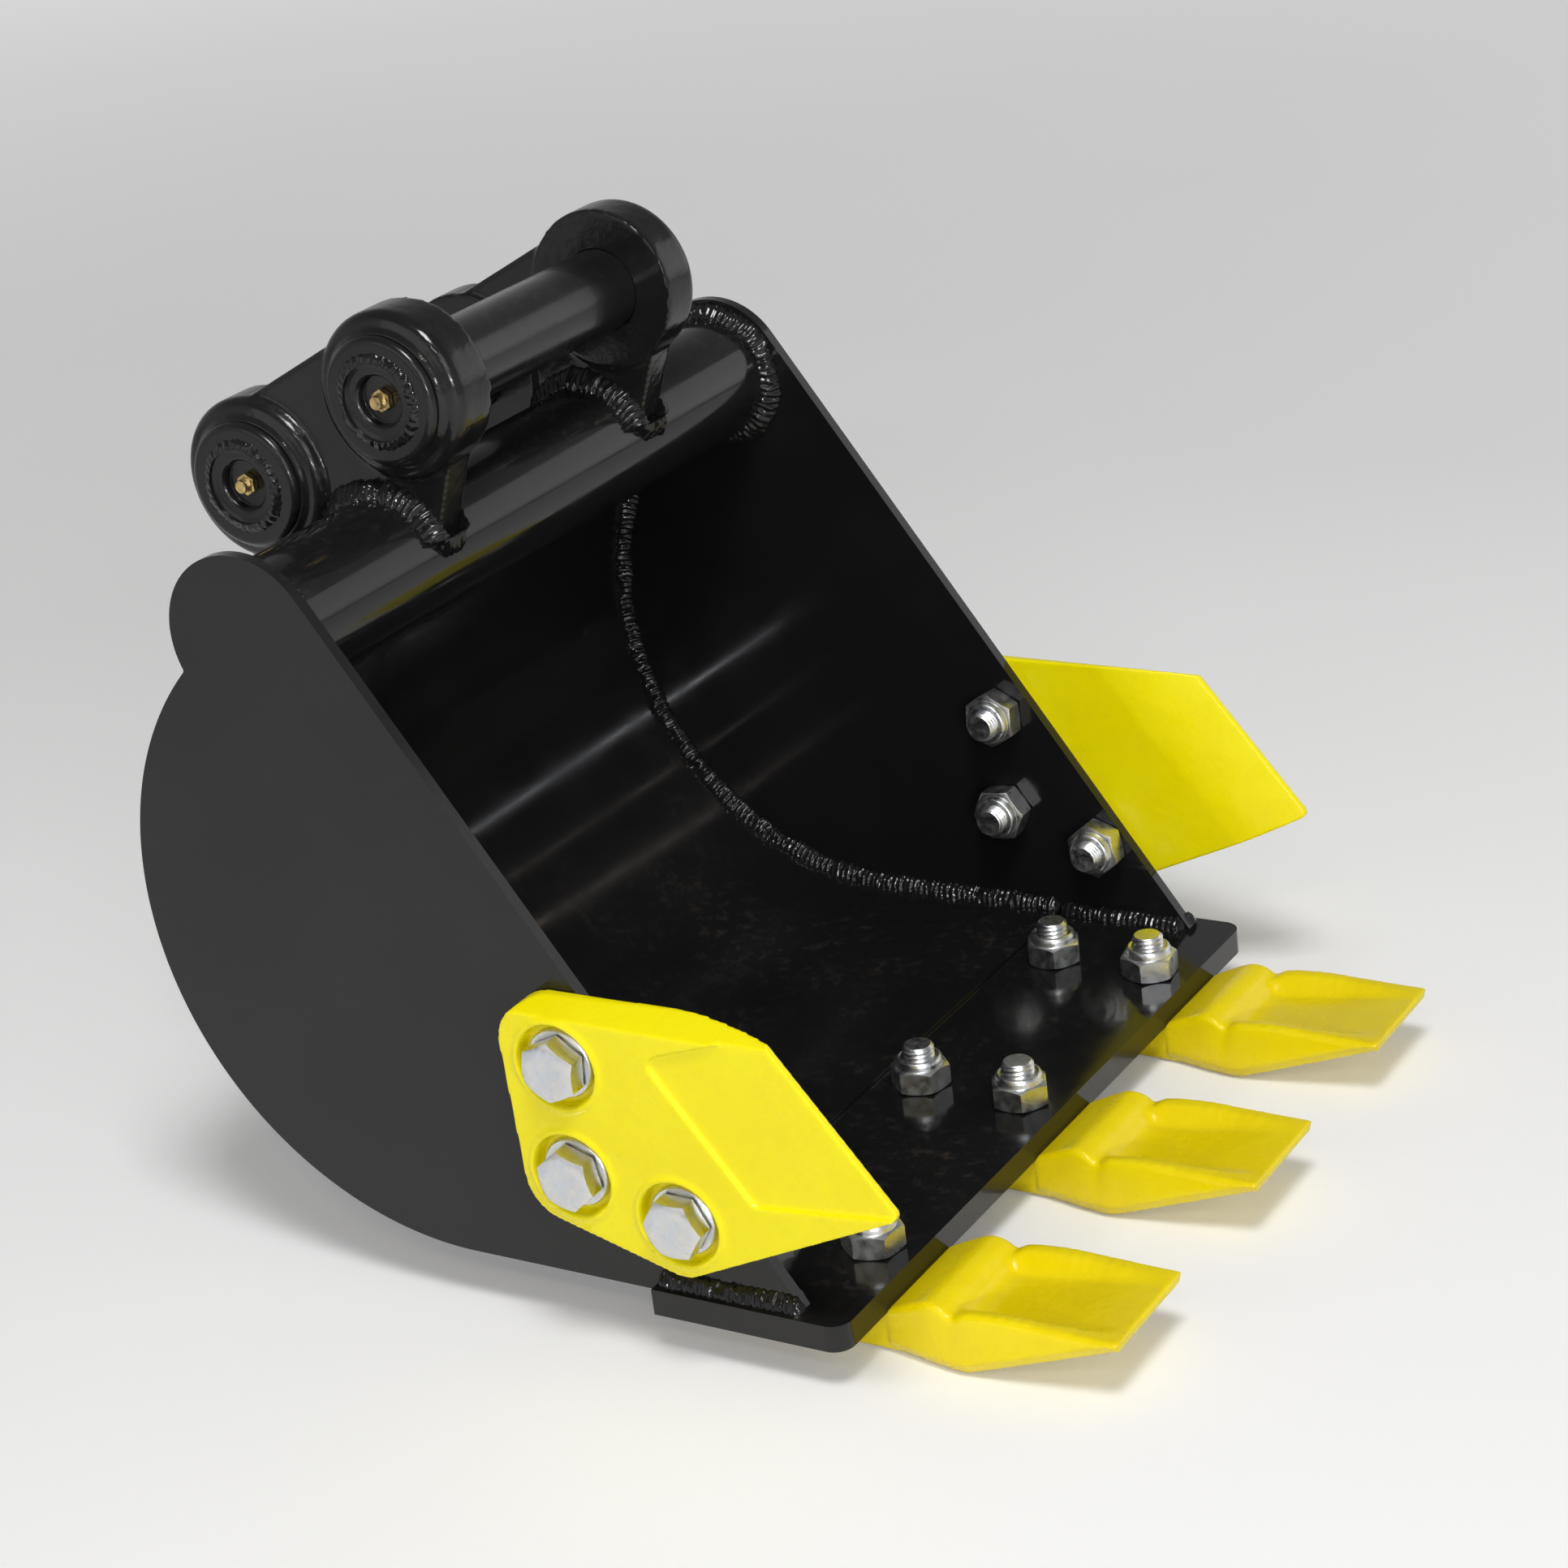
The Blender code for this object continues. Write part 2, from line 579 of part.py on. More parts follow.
def tooth_sections():
    """Stations from the cutting edge to the tip: y, half width at the top and at the bottom,
    top of the side ridges, depth of the valley between them, and the underside."""
    under = -TOOTH_DEPTH
    tip_top = TOOTH_TIP_Z + TOOTH_TIP_THICKNESS / 2
    tip_under = TOOTH_TIP_Z - TOOTH_TIP_THICKNESS / 2
    tip_half = TOOTH_TIP_WIDTH / 2
    rise_start = -0.034

    def underside(y):
        share = max(0.0, (rise_start - y) / (rise_start + TOOTH_REACH))
        return under + (tip_under - under) * share

    rows = ((-GAP, 0.0255, 0.0262, -0.0095, 0.0),
            (-0.010, 0.0266, 0.0278, -0.0050, 0.0),
            (-0.018, 0.0275, 0.0295, -0.0020, 0.0),
            (-0.024, 0.0280, 0.0305, -0.0028, 0.0),
            (-0.029, 0.0282, 0.0312, -0.0055, 0.0010),
            (-0.035, 0.0288, 0.0316, -0.0032, 0.0070),
            (-0.050, 0.0290, 0.0312, -0.0018, 0.0072),
            (-0.066, 0.0290, 0.0305, -0.0020, 0.0050),
            (-0.082, 0.0288, 0.0296, -0.0024, 0.0022))
    stations = [(y, top, low, ridge, dip, underside(y)) for y, top, low, ridge, dip in rows]
    stations.append((-TOOTH_REACH, tip_half, tip_half, tip_top, 0.0002, tip_under))
    return stations


def section_points(top, low, ridge, dip, under):
    """Half of a tooth's cross-section from the middle of the top to the middle of the bottom."""
    valley = top * 0.66
    crest = top * 0.86
    corner = min(0.0016, (ridge - under) * 0.3)
    return [(0.0, ridge - dip), (valley, ridge - dip), (crest, ridge), (top - corner, ridge),
            (top, ridge - corner), (low, under + 3 * corner), (low - 2 * corner, under), (0.0, under)]


def tooth_body_mesh():
    """Cast tooth ahead of the cutting edge: a loft through its cross-sections."""
    work = bmesh.new()
    loops = []
    for y, top, low, ridge, dip, under in tooth_sections():
        half = section_points(top, low, ridge, dip, under)
        loop = half + [(-x, z) for x, z in reversed(half[1:-1])]
        loops.append([work.verts.new((x, y, z)) for x, z in loop])
    for first, second in zip(loops, loops[1:]):
        for i in range(len(first)):
            k = (i + 1) % len(first)
            work.faces.new((first[i], second[i], second[k], first[k]))
    work.faces.new(loops[0])
    work.faces.new(reversed(loops[-1]))
    mesh = bpy.data.meshes.new("tooth_body")
    work.to_mesh(mesh)
    work.free()
    return mesh


def strap_mesh():
    """Strap under the cutting edge, thinner at its rounded rear end."""
    half = STRAP_WIDTH / 2
    corners = [(-half, -STRAP_ROOT), (half, -STRAP_ROOT), (half, STRAP_END_Y),
               (-half, STRAP_END_Y)]
    outline = rounded(corners, (0, 0, STRAP_END_RADIUS, STRAP_END_RADIUS))
    height = TOOTH_DEPTH - STRAP_STEP + STRAP_TOP_Z
    slab = shifted(slab_mesh("strap", outline, height), z=STRAP_TOP_Z - height / 2)
    thin_z = STRAP_TOP_Z - STRAP_REAR_THICKNESS
    below = -TOOTH_DEPTH - SPARE
    behind = STRAP_END_Y + SPARE
    step = [(STRAP_THIN_Y, below), (STRAP_THIN_Y + STRAP_RAMP, thin_z), (behind, thin_z),
            (behind, below)]
    tool = slab_mesh("strap_step", step, STRAP_WIDTH + 2 * SPARE)
    return combined("strap", slab, cuts=[along_x(tool)])


def strap_bottom_z(y):
    """Underside of the strap where a bolt passes."""
    front = STRAP_STEP - TOOTH_DEPTH
    return front if y < STRAP_THIN_Y else STRAP_TOP_Z - STRAP_REAR_THICKNESS


def sunk_bolt_profile(y, clearance, above):
    """Countersunk bolt under the strap, or with a clearance the hole it sits in."""
    head = strap_bottom_z(y) + SUNK_HEAD_SINK
    radius = BOLT_DIAMETER / 2 + clearance
    wide = SUNK_HEAD_RADIUS + clearance
    below = SPARE if clearance else 0.0
    end = [(radius, above)] if clearance else [(radius - THREAD_CHAMFER, above),
                                               (radius, above - THREAD_CHAMFER)]
    return [(0, above), *end, (radius, head + SUNK_HEAD_CONE + clearance),
            (wide, head + clearance), (wide, head - below), (0, head - below)]


def make_teeth():
    strap = strap_mesh()
    holes = []
    for y in TOOTH_BOLT_Y:
        profile = sunk_bolt_profile(y, BOLT_HOLE_CLEARANCE, SPARE)
        holes.append(shifted(turned_mesh("sunk_hole", profile, SMALL_ROUND), y=y))
    mesh = combined("tooth", tooth_body_mesh(), joins=[strap], cuts=holes)
    smooth(mesh, 30)
    nut = nut_mesh()
    top = NUT_HEIGHT + NUT_COLLAR_HEIGHT + GAP + BOLT_TIP_OUT
    for side, x in tooth_places():
        link_part("tooth_" + side, mesh.copy(), YELLOW_PAINT, (x, 0, 0))
        for place, y in zip(("front", "rear"), TOOTH_BOLT_Y):
            label = "tooth_" + side + "_" + place
            bolt = turned_mesh("sunk_bolt", sunk_bolt_profile(y, 0.0, top), SMALL_ROUND)
            link_part(label + "_bolt", smooth(bolt), ZINC, (x, y, 0))
            link_part(label + "_nut", nut.copy(), ZINC, (x, y, GAP))


# ---------------------------------------------------------------- fasteners

def nut_mesh():
    """Locking nut on its own Z, seat at 0, with the round collar over its insert."""
    hole = BOLT_DIAMETER / 2 + NUT_CLEARANCE
    top = NUT_HEIGHT + NUT_COLLAR_HEIGHT
    collar = [(0, top), (NUT_COLLAR_RADIUS - NUT_COLLAR_CHAMFER, top),
              (NUT_COLLAR_RADIUS, top - NUT_COLLAR_CHAMFER),
              (NUT_COLLAR_RADIUS, NUT_HEIGHT / 2), (0, NUT_HEIGHT / 2)]
    return smooth(combined("nut", hex_mesh("nut_hex", NUT_HEX, 0.0, NUT_HEIGHT),
                           joins=[turned_mesh("collar", collar, SMALL_ROUND)],
                           cuts=[rod_mesh("nut_bore", hole, -SPARE, top + SPARE, SMALL_ROUND)]))


def make_cutter_fasteners():
    seat = CUTTER_OUTER_X - BOLT_SEAT_DEPTH
    washer_x = seat + GAP
    head_x = washer_x + WASHER_THICKNESS + GAP
    nut_x = SIDE_INNER_X - GAP
    tip_x = nut_x - NUT_HEIGHT - NUT_COLLAR_HEIGHT - BOLT_TIP_OUT
    hole = BOLT_DIAMETER / 2 + NUT_CLEARANCE
    washer = smooth(disc_mesh("washer", hole, WASHER_RADIUS, 0.0, WASHER_THICKNESS, SMALL_ROUND))
    bolt = smooth(bolt_mesh("cutter_bolt", BOLT_HEX, BOLT_HEAD, BOLT_DIAMETER, head_x - tip_x))
    nut = nut_mesh()
    for side, sign in (("left", -1), ("right", 1)):
        outward = (0, sign * math.pi / 2, 0)
        inward = (0, -sign * math.pi / 2, 0)
        for number, (y, z) in enumerate(CUTTER_BOLTS, 1):
            label = "cutter_" + side + "_"
            suffix = "_" + str(number)
            link_part(label + "washer" + suffix, washer.copy(), ZINC, (sign * washer_x, y, z),
                      outward)
            link_part(label + "bolt" + suffix, bolt.copy(), ZINC, (sign * head_x, y, z), outward)
            link_part(label + "nut" + suffix, nut.copy(), ZINC, (sign * nut_x, y, z), inward)


# ---------------------------------------------------------------- side cutters

def cutter_outline():
    """Five-sided blade with its corners rounded."""
    corners = [CUTTER_REAR_TOP, CUTTER_FRONT_TOP, CUTTER_TIP, CUTTER_HEEL, CUTTER_REAR_LOW]
    return rounded(corners, (0.018, 0.0015, 0.0025, 0.012, 0.018), 6)


def cutter_pocket_tool():
    """Shallow pocket in the outer face, open towards the blade's front edge."""
    ahead = CUTTER_TIP[0] - SPARE
    outline = rounded([(0.069, 0.104), CUTTER_FRONT_TOP, (ahead, CUTTER_FRONT_TOP[1]),
                       (ahead, CUTTER_TIP[1]), CUTTER_TIP, (0.027, 0.050)],
                      (0.005, 0.0, 0.0, 0.0, 0.0, 0.005), 4)
    return along_x(slab_mesh("pocket", outline, 2 * CUTTER_POCKET_DEPTH), CUTTER_OUTER_X)


def cutter_blade_tool():
    """Takes the inner face away towards the front edge, which leaves a thin blade outboard."""
    edge = CUTTER_OUTER_X - CUTTER_POCKET_DEPTH - CUTTER_EDGE
    front = Vector(CUTTER_FRONT_TOP)
    slope = (front - Vector(CUTTER_TIP)).normalized()
    normal = Vector((slope.y, -slope.x))
    inboard = CUTTER_INNER_X - SPARE
    outline = [(-SPARE, inboard), (CUTTER_BLADE_RUN, inboard),
               (CUTTER_BLADE_RUN, CUTTER_INNER_X - GAP), (0.0, edge), (-SPARE, edge)]
    mesh = slab_mesh("blade", outline, 2 * (CUTTER_REAR_TOP[0] - CUTTER_TIP[0]))
    for vertex in mesh.vertices:
        inward, x, along = vertex.co
        place = front + normal * inward - slope * along
        vertex.co = (x, place.x, place.y)
    return mesh


def cutter_top_tool():
    """Slopes the top edge down towards the outer face."""
    top = CUTTER_FRONT_TOP[1]
    low = top - CUTTER_TOP_SLOPE
    outline = [(CUTTER_INNER_X, top + SPARE), (CUTTER_INNER_X, top), (CUTTER_OUTER_X, low),
               (CUTTER_OUTER_X + SPARE, low), (CUTTER_OUTER_X + SPARE, top + SPARE)]
    mesh = slab_mesh("top_slope", outline, 2 * (CUTTER_REAR_TOP[0] - CUTTER_TIP[0]))
    for vertex in mesh.vertices:
        x, z, along = vertex.co
        vertex.co = (x, CUTTER_REAR_TOP[0] - along, z)
    return mesh


def make_side_cutters():
    middle_x = CUTTER_INNER_X + CUTTER_THICKNESS / 2
    blank = along_x(slab_mesh("cutter", cutter_outline(), CUTTER_THICKNESS), middle_x)
    tools = [cutter_pocket_tool(), cutter_blade_tool(), cutter_top_tool()]
    for y, z in CUTTER_BOLTS:
        hole = rod_mesh("bolt_hole", BOLT_HOLE_RADIUS, -CUTTER_THICKNESS, CUTTER_THICKNESS,
                        SMALL_ROUND)
        seat = rod_mesh("bolt_seat", BOLT_SEAT_RADIUS, -BOLT_SEAT_DEPTH, BOLT_SEAT_DEPTH,
                        MEDIUM_ROUND)
        tools.append(along_x(hole, middle_x, y, z))
        tools.append(along_x(seat, CUTTER_OUTER_X, y, z))
    right = smooth(combined("side_cutter", blank, cuts=tools), 30)
    link_part("side_cutter_right", right, YELLOW_PAINT)
    link_part("side_cutter_left", mirrored_in_x(right, "side_cutter_left"), YELLOW_PAINT)


# ---------------------------------------------------------------- assembly

clear_scene()
PARTS = new_collection(OBJECT_NAME)
CUTTERS = new_collection(OBJECT_NAME + "_cutters")
DATUM_EMPTY = bpy.data.objects.new("bucket_datum", None)
PARTS.objects.link(DATUM_EMPTY)
DATUM_EMPTY.location = DATUM

make_side_plates()
make_wrapper()
make_top_tube()
make_cutting_edge()
make_ears()
make_pins()
make_teeth()
make_side_cutters()
make_cutter_fasteners()
bpy.context.view_layer.update()
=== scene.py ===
"""Looks of a mini excavator's digging bucket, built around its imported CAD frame.

Shapes are written in the bucket's design frame, in metres: X across, Y from the cutting edge's
front towards the back, Z up from the cutting edge's top. ZERO is that frame's place in the model.
"""

import json
import math

import bmesh
import bpy
from mathutils import Matrix, Vector, noise


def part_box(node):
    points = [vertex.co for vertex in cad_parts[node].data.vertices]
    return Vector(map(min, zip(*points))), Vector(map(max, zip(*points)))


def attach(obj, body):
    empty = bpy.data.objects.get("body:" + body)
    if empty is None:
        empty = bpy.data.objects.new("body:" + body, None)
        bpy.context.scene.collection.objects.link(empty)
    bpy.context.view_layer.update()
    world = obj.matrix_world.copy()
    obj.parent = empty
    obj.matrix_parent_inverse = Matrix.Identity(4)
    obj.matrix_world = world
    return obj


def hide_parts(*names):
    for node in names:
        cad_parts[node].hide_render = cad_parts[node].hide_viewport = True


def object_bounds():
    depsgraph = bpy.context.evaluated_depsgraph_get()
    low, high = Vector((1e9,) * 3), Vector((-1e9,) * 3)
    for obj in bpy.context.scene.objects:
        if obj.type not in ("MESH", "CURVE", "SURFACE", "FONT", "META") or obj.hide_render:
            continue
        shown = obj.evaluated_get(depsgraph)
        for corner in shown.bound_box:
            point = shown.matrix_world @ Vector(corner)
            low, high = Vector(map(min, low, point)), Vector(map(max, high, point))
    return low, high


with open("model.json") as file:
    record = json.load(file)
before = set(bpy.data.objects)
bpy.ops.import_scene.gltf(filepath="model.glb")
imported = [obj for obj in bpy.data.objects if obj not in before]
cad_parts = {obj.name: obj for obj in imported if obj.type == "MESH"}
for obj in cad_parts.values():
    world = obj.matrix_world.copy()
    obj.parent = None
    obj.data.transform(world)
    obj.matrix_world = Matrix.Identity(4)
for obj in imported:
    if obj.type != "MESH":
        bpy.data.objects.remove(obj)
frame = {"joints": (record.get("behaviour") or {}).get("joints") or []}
CAD_LOW, CAD_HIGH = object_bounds()

# ---------------------------------------------------------------- places, from the frame

LIP_LOW, LIP_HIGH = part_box("cutting_edge")
ZERO = Vector((0.0, LIP_LOW.y, LIP_HIGH.z))


def span(node):
    """A CAD node's lowest and highest corners in the design frame."""
    low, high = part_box(node)
    return low - ZERO, high - ZERO


def middle(node):
    """The middle of a CAD node's box as (X, Y, Z) in the design frame."""
    return tuple((a + b) / 2 for a, b in zip(*span(node)))


def joint_place(name):
    """A hinge's place as (Y, Z) in the design frame."""
    joint = next(j for j in frame["joints"] if j["name"] == name)
    place = Vector(joint["pos_m"]) - ZERO
    return place.y, place.z


PLATE_LOW, PLATE_HIGH = span("side_plate_right")
PLATE_INNER = PLATE_LOW.x
PLATE_OUTER = PLATE_HIGH.x
TUBE_LOW, TUBE_HIGH = span("top_tube")
TUBE = middle("top_tube")[1:]
TUBE_RADIUS = (TUBE_HIGH.z - TUBE_LOW.z) / 2
ARM_PIN = joint_place("arm_pin_turn")
LINK_PIN = joint_place("link_pin_turn")
CUTTER_LOW, CUTTER_HIGH = span("side_cutter_right")
EAR_LOW, EAR_HIGH = span("ear_right")
LIP_DEPTH = LIP_HIGH.y - LIP_LOW.y
LIP_THICKNESS = LIP_HIGH.z - LIP_LOW.z
TOOTH_LOW, TOOTH_HIGH = span("tooth_middle")
SIDES = (("left", -1), ("right", 1))
TEETH = ("left", "middle", "right")
TOOTH_ENDS = ("front", "rear")
CUTTER_NUMBERS = ("1", "2", "3")

# ---------------------------------------------------------------- sizes, in metres

GAP = 0.0003                 # between the CAD's neighbouring solids
PLATE = 0.005
FLOOR_DROP = 0.0045          # side plate's underside below the cutting edge's top
BACK_RADIUS = 0.1375         # side plate's round back
BACK = (0.171, BACK_RADIUS - FLOOR_DROP)
LOBE_RADIUS = TUBE_RADIUS + 0.008    # side plate's lobe over the tube's end
NOTCH_RADIUS = 0.0015        # between the lobe and the round back
WRAPPER_RADIUS = BACK_RADIUS - 0.001
BEND_STEP = 12.0             # degrees between the press's strokes along the wrapper
BEND_DEPTH = 0.00010
BEND_PHASE = 24.0            # degrees
TUBE_WALL = 0.008
BOSS_RADIUS = 0.034
BOSS_LENGTH = 0.022
COLLAR_RADIUS = 0.0275
COLLAR_HEIGHT = 0.002
WEB_THICKNESS = 0.015
WEB_SET_BACK = 0.0015
WEB_RADIUS = BOSS_RADIUS - 0.0045
PIN_RADIUS = 0.0175
THREAD_RADIUS = 0.007
THREAD_PITCH = 0.002
THREAD_DEPTH = 0.0009
THREAD_LENGTH = 0.012
HOLE_CLEARANCE = 0.0006      # radial, bolts in plates and castings
HEX = 0.022                  # across flats, M14 heads and nuts
HEX_HEAD = 0.0088
NUT_CORNER = 0.0127
NUT_HEIGHT = 0.010           # of the nut's hexagon, below its collar
SUNK_CONE = 0.0055           # height of a tooth bolt's conical head
BOLT_SEAT_RADIUS = 0.0165
BOLT_SEAT_DEPTH = 0.005
SPARE = 0.01                 # cutting tools reach this far past what they cut


# ---------------------------------------------------------------- outlines

def arc(centre, radius, start, end, steps):
    """Points on an arc, angles in degrees from the first axis towards the second."""
    points = []
    for i in range(steps + 1):
        angle = math.radians(start + (end - start) * i / steps)
        points.append((centre[0] + radius * math.cos(angle), centre[1] + radius * math.sin(angle)))
    return points


def ring(centre, radius, steps):
    return arc(centre, radius, 0, 360, steps)[:-1]


def rounded(corners, radii, steps=8):
    """A closed outline with its corners rounded, given as points and one radius each."""
    points = []
    count = len(corners)
    for i, (corner, radius) in enumerate(zip(corners, radii)):
        here = Vector(corner)
        if radius == 0:
            points.append(tuple(here))
            continue
        back = (Vector(corners[i - 1]) - here).normalized()
        ahead = (Vector(corners[(i + 1) % count]) - here).normalized()
        half = back.angle(ahead) / 2
        centre = here + (back + ahead).normalized() * radius / math.sin(half)
        start = here + back * radius / math.tan(half) - centre
        end = here + ahead * radius / math.tan(half) - centre
        for k in range(steps + 1):
            points.append(tuple(centre + start.lerp(end, k / steps).normalized() * radius))
    return points


def rounded_profile(points, radius):
    """An open turned profile with every inner corner rounded off a little."""
    result = [points[0]]
    for before, here, after in zip(points, points[1:], points[2:]):
        back = Vector(before) - Vector(here)
        ahead = Vector(after) - Vector(here)
        cut = min(radius, back.length * 0.4, ahead.length * 0.4)
        first = Vector(here) + back.normalized() * cut
        last = Vector(here) + ahead.normalized() * cut
        for k in range(4):
            t = k / 3
            blend = first.lerp(Vector(here), t).lerp(Vector(here).lerp(last, t), t)
            result.append(tuple(blend))
    return result + [points[-1]]


# ---------------------------------------------------------------- meshes

def evaluated_mesh(obj, name):
    """The object's final mesh as its own data, welded, with the object removed."""
    bpy.context.view_layer.update()
    graph = bpy.context.evaluated_depsgraph_get()
    mesh = bpy.data.meshes.new_from_object(obj.evaluated_get(graph), depsgraph=graph)
    mesh.name = name
    work = bmesh.new()
    work.from_mesh(mesh)
    bmesh.ops.remove_doubles(work, verts=work.verts, dist=0.000004)
    bmesh.ops.recalc_face_normals(work, faces=work.faces)
    if work.calc_volume(signed=True) < 0:
        bmesh.ops.reverse_faces(work, faces=work.faces)
    work.to_mesh(mesh)
    work.free()
    bpy.data.objects.remove(obj, do_unlink=True)
    return mesh


def finished(work, name):
    """A bmesh as mesh data, with the bmesh freed."""
    mesh = bpy.data.meshes.new(name)
    work.to_mesh(mesh)
    work.free()
    return mesh


def temporary(name, data):
    obj = bpy.data.objects.new(name, data)
    bpy.context.scene.collection.objects.link(obj)
    return obj


def slab(name, outline, thickness, holes=()):
    """A flat piece from its outline and holes, centred on its own XY plane."""
    curve = bpy.data.curves.new(name, "CURVE")
    curve.dimensions = "2D"
    curve.fill_mode = "BOTH"
    curve.extrude = thickness / 2
    for loop in (outline, *holes):
        spline = curve.splines.new("POLY")
        spline.points.add(len(loop) - 1)
        for point, (x, y) in zip(spline.points, loop):
            point.co = (x, y, 0.0, 1.0)
        spline.use_cyclic_u = True
    return evaluated_mesh(temporary(name, curve), name)


def turned(name, profile, steps=64, closed=False):
    """A turned piece about local Z from (radius, height) points."""
    mesh = bpy.data.meshes.new(name)
    edges = [(i, i + 1) for i in range(len(profile) - 1)]
    if closed:
        edges.append((len(profile) - 1, 0))
    mesh.from_pydata([(radius, 0.0, height) for radius, height in profile], edges, [])
    obj = temporary(name, mesh)
    screw = obj.modifiers.new("turn", "SCREW")
    screw.angle = math.tau
    screw.steps = steps
    screw.render_steps = steps
    screw.use_merge_vertices = True
    screw.merge_threshold = 0.000004
    return evaluated_mesh(obj, name)


def rod(radius, bottom, top, steps=48):
    return turned("rod", [(0, top), (radius, top), (radius, bottom), (0, bottom)], steps)


def hexagon(across_flats, bottom, top):
    work = bmesh.new()
    radius = across_flats / math.sqrt(3)
    bmesh.ops.create_cone(work, cap_ends=True, segments=6, radius1=radius, radius2=radius,
                          depth=top - bottom)
    bmesh.ops.translate(work, verts=work.verts, vec=(0, 0, (top + bottom) / 2))
    return finished(work, "hexagon")


def combined(name, base, tools):
    """A mesh from a base mesh and (operation, mesh) Booleans in order."""
    obj = temporary(name, base)
    helpers = []
    for operation, tool in tools:
        helper = temporary("tool", tool)
        boolean = obj.modifiers.new(operation, "BOOLEAN")
        boolean.operation = operation
        boolean.object = helper
        helpers.append(helper)
    mesh = evaluated_mesh(obj, name)
    for helper in helpers:
        bpy.data.objects.remove(helper, do_unlink=True)
    return mesh


def joined(name, meshes):
    work = bmesh.new()
    for mesh in meshes:
        work.from_mesh(mesh)
    return finished(work, name)


def cast(name, meshes, voxel, smoothing):
    """Closed meshes melted into one casting with soft fillets and corners."""
    obj = temporary(name, joined(name, meshes))
    remesh = obj.modifiers.new("remesh", "REMESH")
    remesh.mode = "VOXEL"
    remesh.voxel_size = voxel
    soft = obj.modifiers.new("soft", "SMOOTH")
    soft.factor = 0.5
    soft.iterations = smoothing
    return evaluated_mesh(obj, name)


def shifted(mesh, x=0.0, y=0.0, z=0.0):
    mesh.transform(Matrix.Translation((x, y, z)))
    return mesh


def along_x(mesh, x=0.0, y=0.0, z=0.0):
    """Turn a mesh so that its own x, y, z become design Y, Z, X, then place it."""
    mesh.transform(Matrix(((0, 0, 1, x), (1, 0, 0, y), (0, 1, 0, z), (0, 0, 0, 1))))
    return mesh


def mirrored(mesh):
    """The other hand of a mesh, across the bucket's middle."""
    work = bmesh.new()
    work.from_mesh(mesh)
    bmesh.ops.scale(work, vec=(-1, 1, 1), verts=work.verts)
    bmesh.ops.reverse_faces(work, faces=work.faces)
    return finished(work, mesh.name)


# ---------------------------------------------------------------- materials

class Nodes:
    """Short hand for a material's node tree."""

    def __init__(self, name):
        self.material = bpy.data.materials.new(name)
        self.material.use_nodes = True
        self.tree = self.material.node_tree
        self.shader = self.tree.nodes["Principled BSDF"]
        self.place = self.add("ShaderNodeTexCoord").outputs["Object"]

    def add(self, kind, **settings):
        node = self.tree.nodes.new(kind)
        for key, value in settings.items():
            setattr(node, key, value)
        return node

    def link(self, output, target):
        self.tree.links.new(output, target)

    def noise(self, size, detail=2.0, roughness=0.5):
        """Noise with features of about that size in metres."""
        node = self.add("ShaderNodeTexNoise")
        node.inputs["Scale"].default_value = 1.0 / size
        node.inputs["Detail"].default_value = detail
        node.inputs["Roughness"].default_value = roughness
        self.link(self.place, node.inputs["Vector"])
        return node.outputs["Fac"]

    def ramp(self, source, low, high, start=0.35, end=0.65):
        """Map a value from its own range start..end to low..high."""
        node = self.add("ShaderNodeMapRange")
        for socket, value in (("From Min", start), ("From Max", end), ("To Min", low),
                              ("To Max", high)):
            node.inputs[socket].default_value = value
        self.link(source, node.inputs["Value"])
        return node.outputs["Result"]

    def colour_mix(self, factor, first, second):
        """Mix two colours, each a tuple or another node's output."""
        node = self.add("ShaderNodeMix", data_type="RGBA")
        self.link(factor, node.inputs["Factor"])
        for socket, colour in ((node.inputs["A"], first), (node.inputs["B"], second)):
            if isinstance(colour, tuple):
                socket.default_value = (*colour, 1.0)
            else:
                self.link(colour, socket)
        return node.outputs["Result"]

    def product(self, first, second):
        node = self.add("ShaderNodeMath", operation="MULTIPLY")
        self.link(first, node.inputs[0])
        self.link(second, node.inputs[1])
        return node.outputs["Value"]

    def bump(self, source, height, before=None):
        """Bump of a real height in metres, on top of another bump."""
        node = self.add("ShaderNodeBump")
        node.inputs["Distance"].default_value = height
        self.link(source, node.inputs["Height"])
        if before:
            self.link(before, node.inputs["Normal"])
        return node.outputs["Normal"]

    def facing_up(self):
        """0 on walls and undersides, 1 on level tops."""
        split = self.add("ShaderNodeSeparateXYZ")
        self.link(self.add("ShaderNodeNewGeometry").outputs["Normal"], split.inputs["Vector"])
        return self.ramp(split.outputs["Z"], 0.0, 1.0, 0.35, 0.95)


def black_paint(name, peel_height, cast_height, gloss):
    """Thick gloss black: orange peel, uneven gloss, and a little dust on what faces up."""
    n = Nodes(name)
    dust_spots = n.ramp(n.noise(0.006, 6.0, 0.65), 0.0, 1.0, 0.52, 0.80)
    haze = n.ramp(n.noise(0.060, 4.0), 0.0, 1.0, 0.40, 0.75)
    dust = n.product(n.product(dust_spots, haze), n.facing_up())
    paint = n.colour_mix(haze, (0.0075, 0.0075, 0.0082), (0.0105, 0.0102, 0.0100))
    n.link(n.colour_mix(dust, paint, (0.060, 0.050, 0.040)), n.shader.inputs["Base Color"])
    n.link(n.ramp(n.noise(0.035, 5.0, 0.6), gloss, gloss + 0.10), n.shader.inputs["Roughness"])
    relief = n.bump(n.noise(0.0028, 2.0), peel_height)
    relief = n.bump(n.noise(0.012, 4.0), cast_height, relief)
    n.link(relief, n.shader.inputs["Normal"])
    n.shader.inputs["Specular IOR Level"].default_value = 0.32
    n.shader.inputs["Coat Weight"].default_value = 0.15
    n.shader.inputs["Coat Roughness"].default_value = 0.06
    return n.material


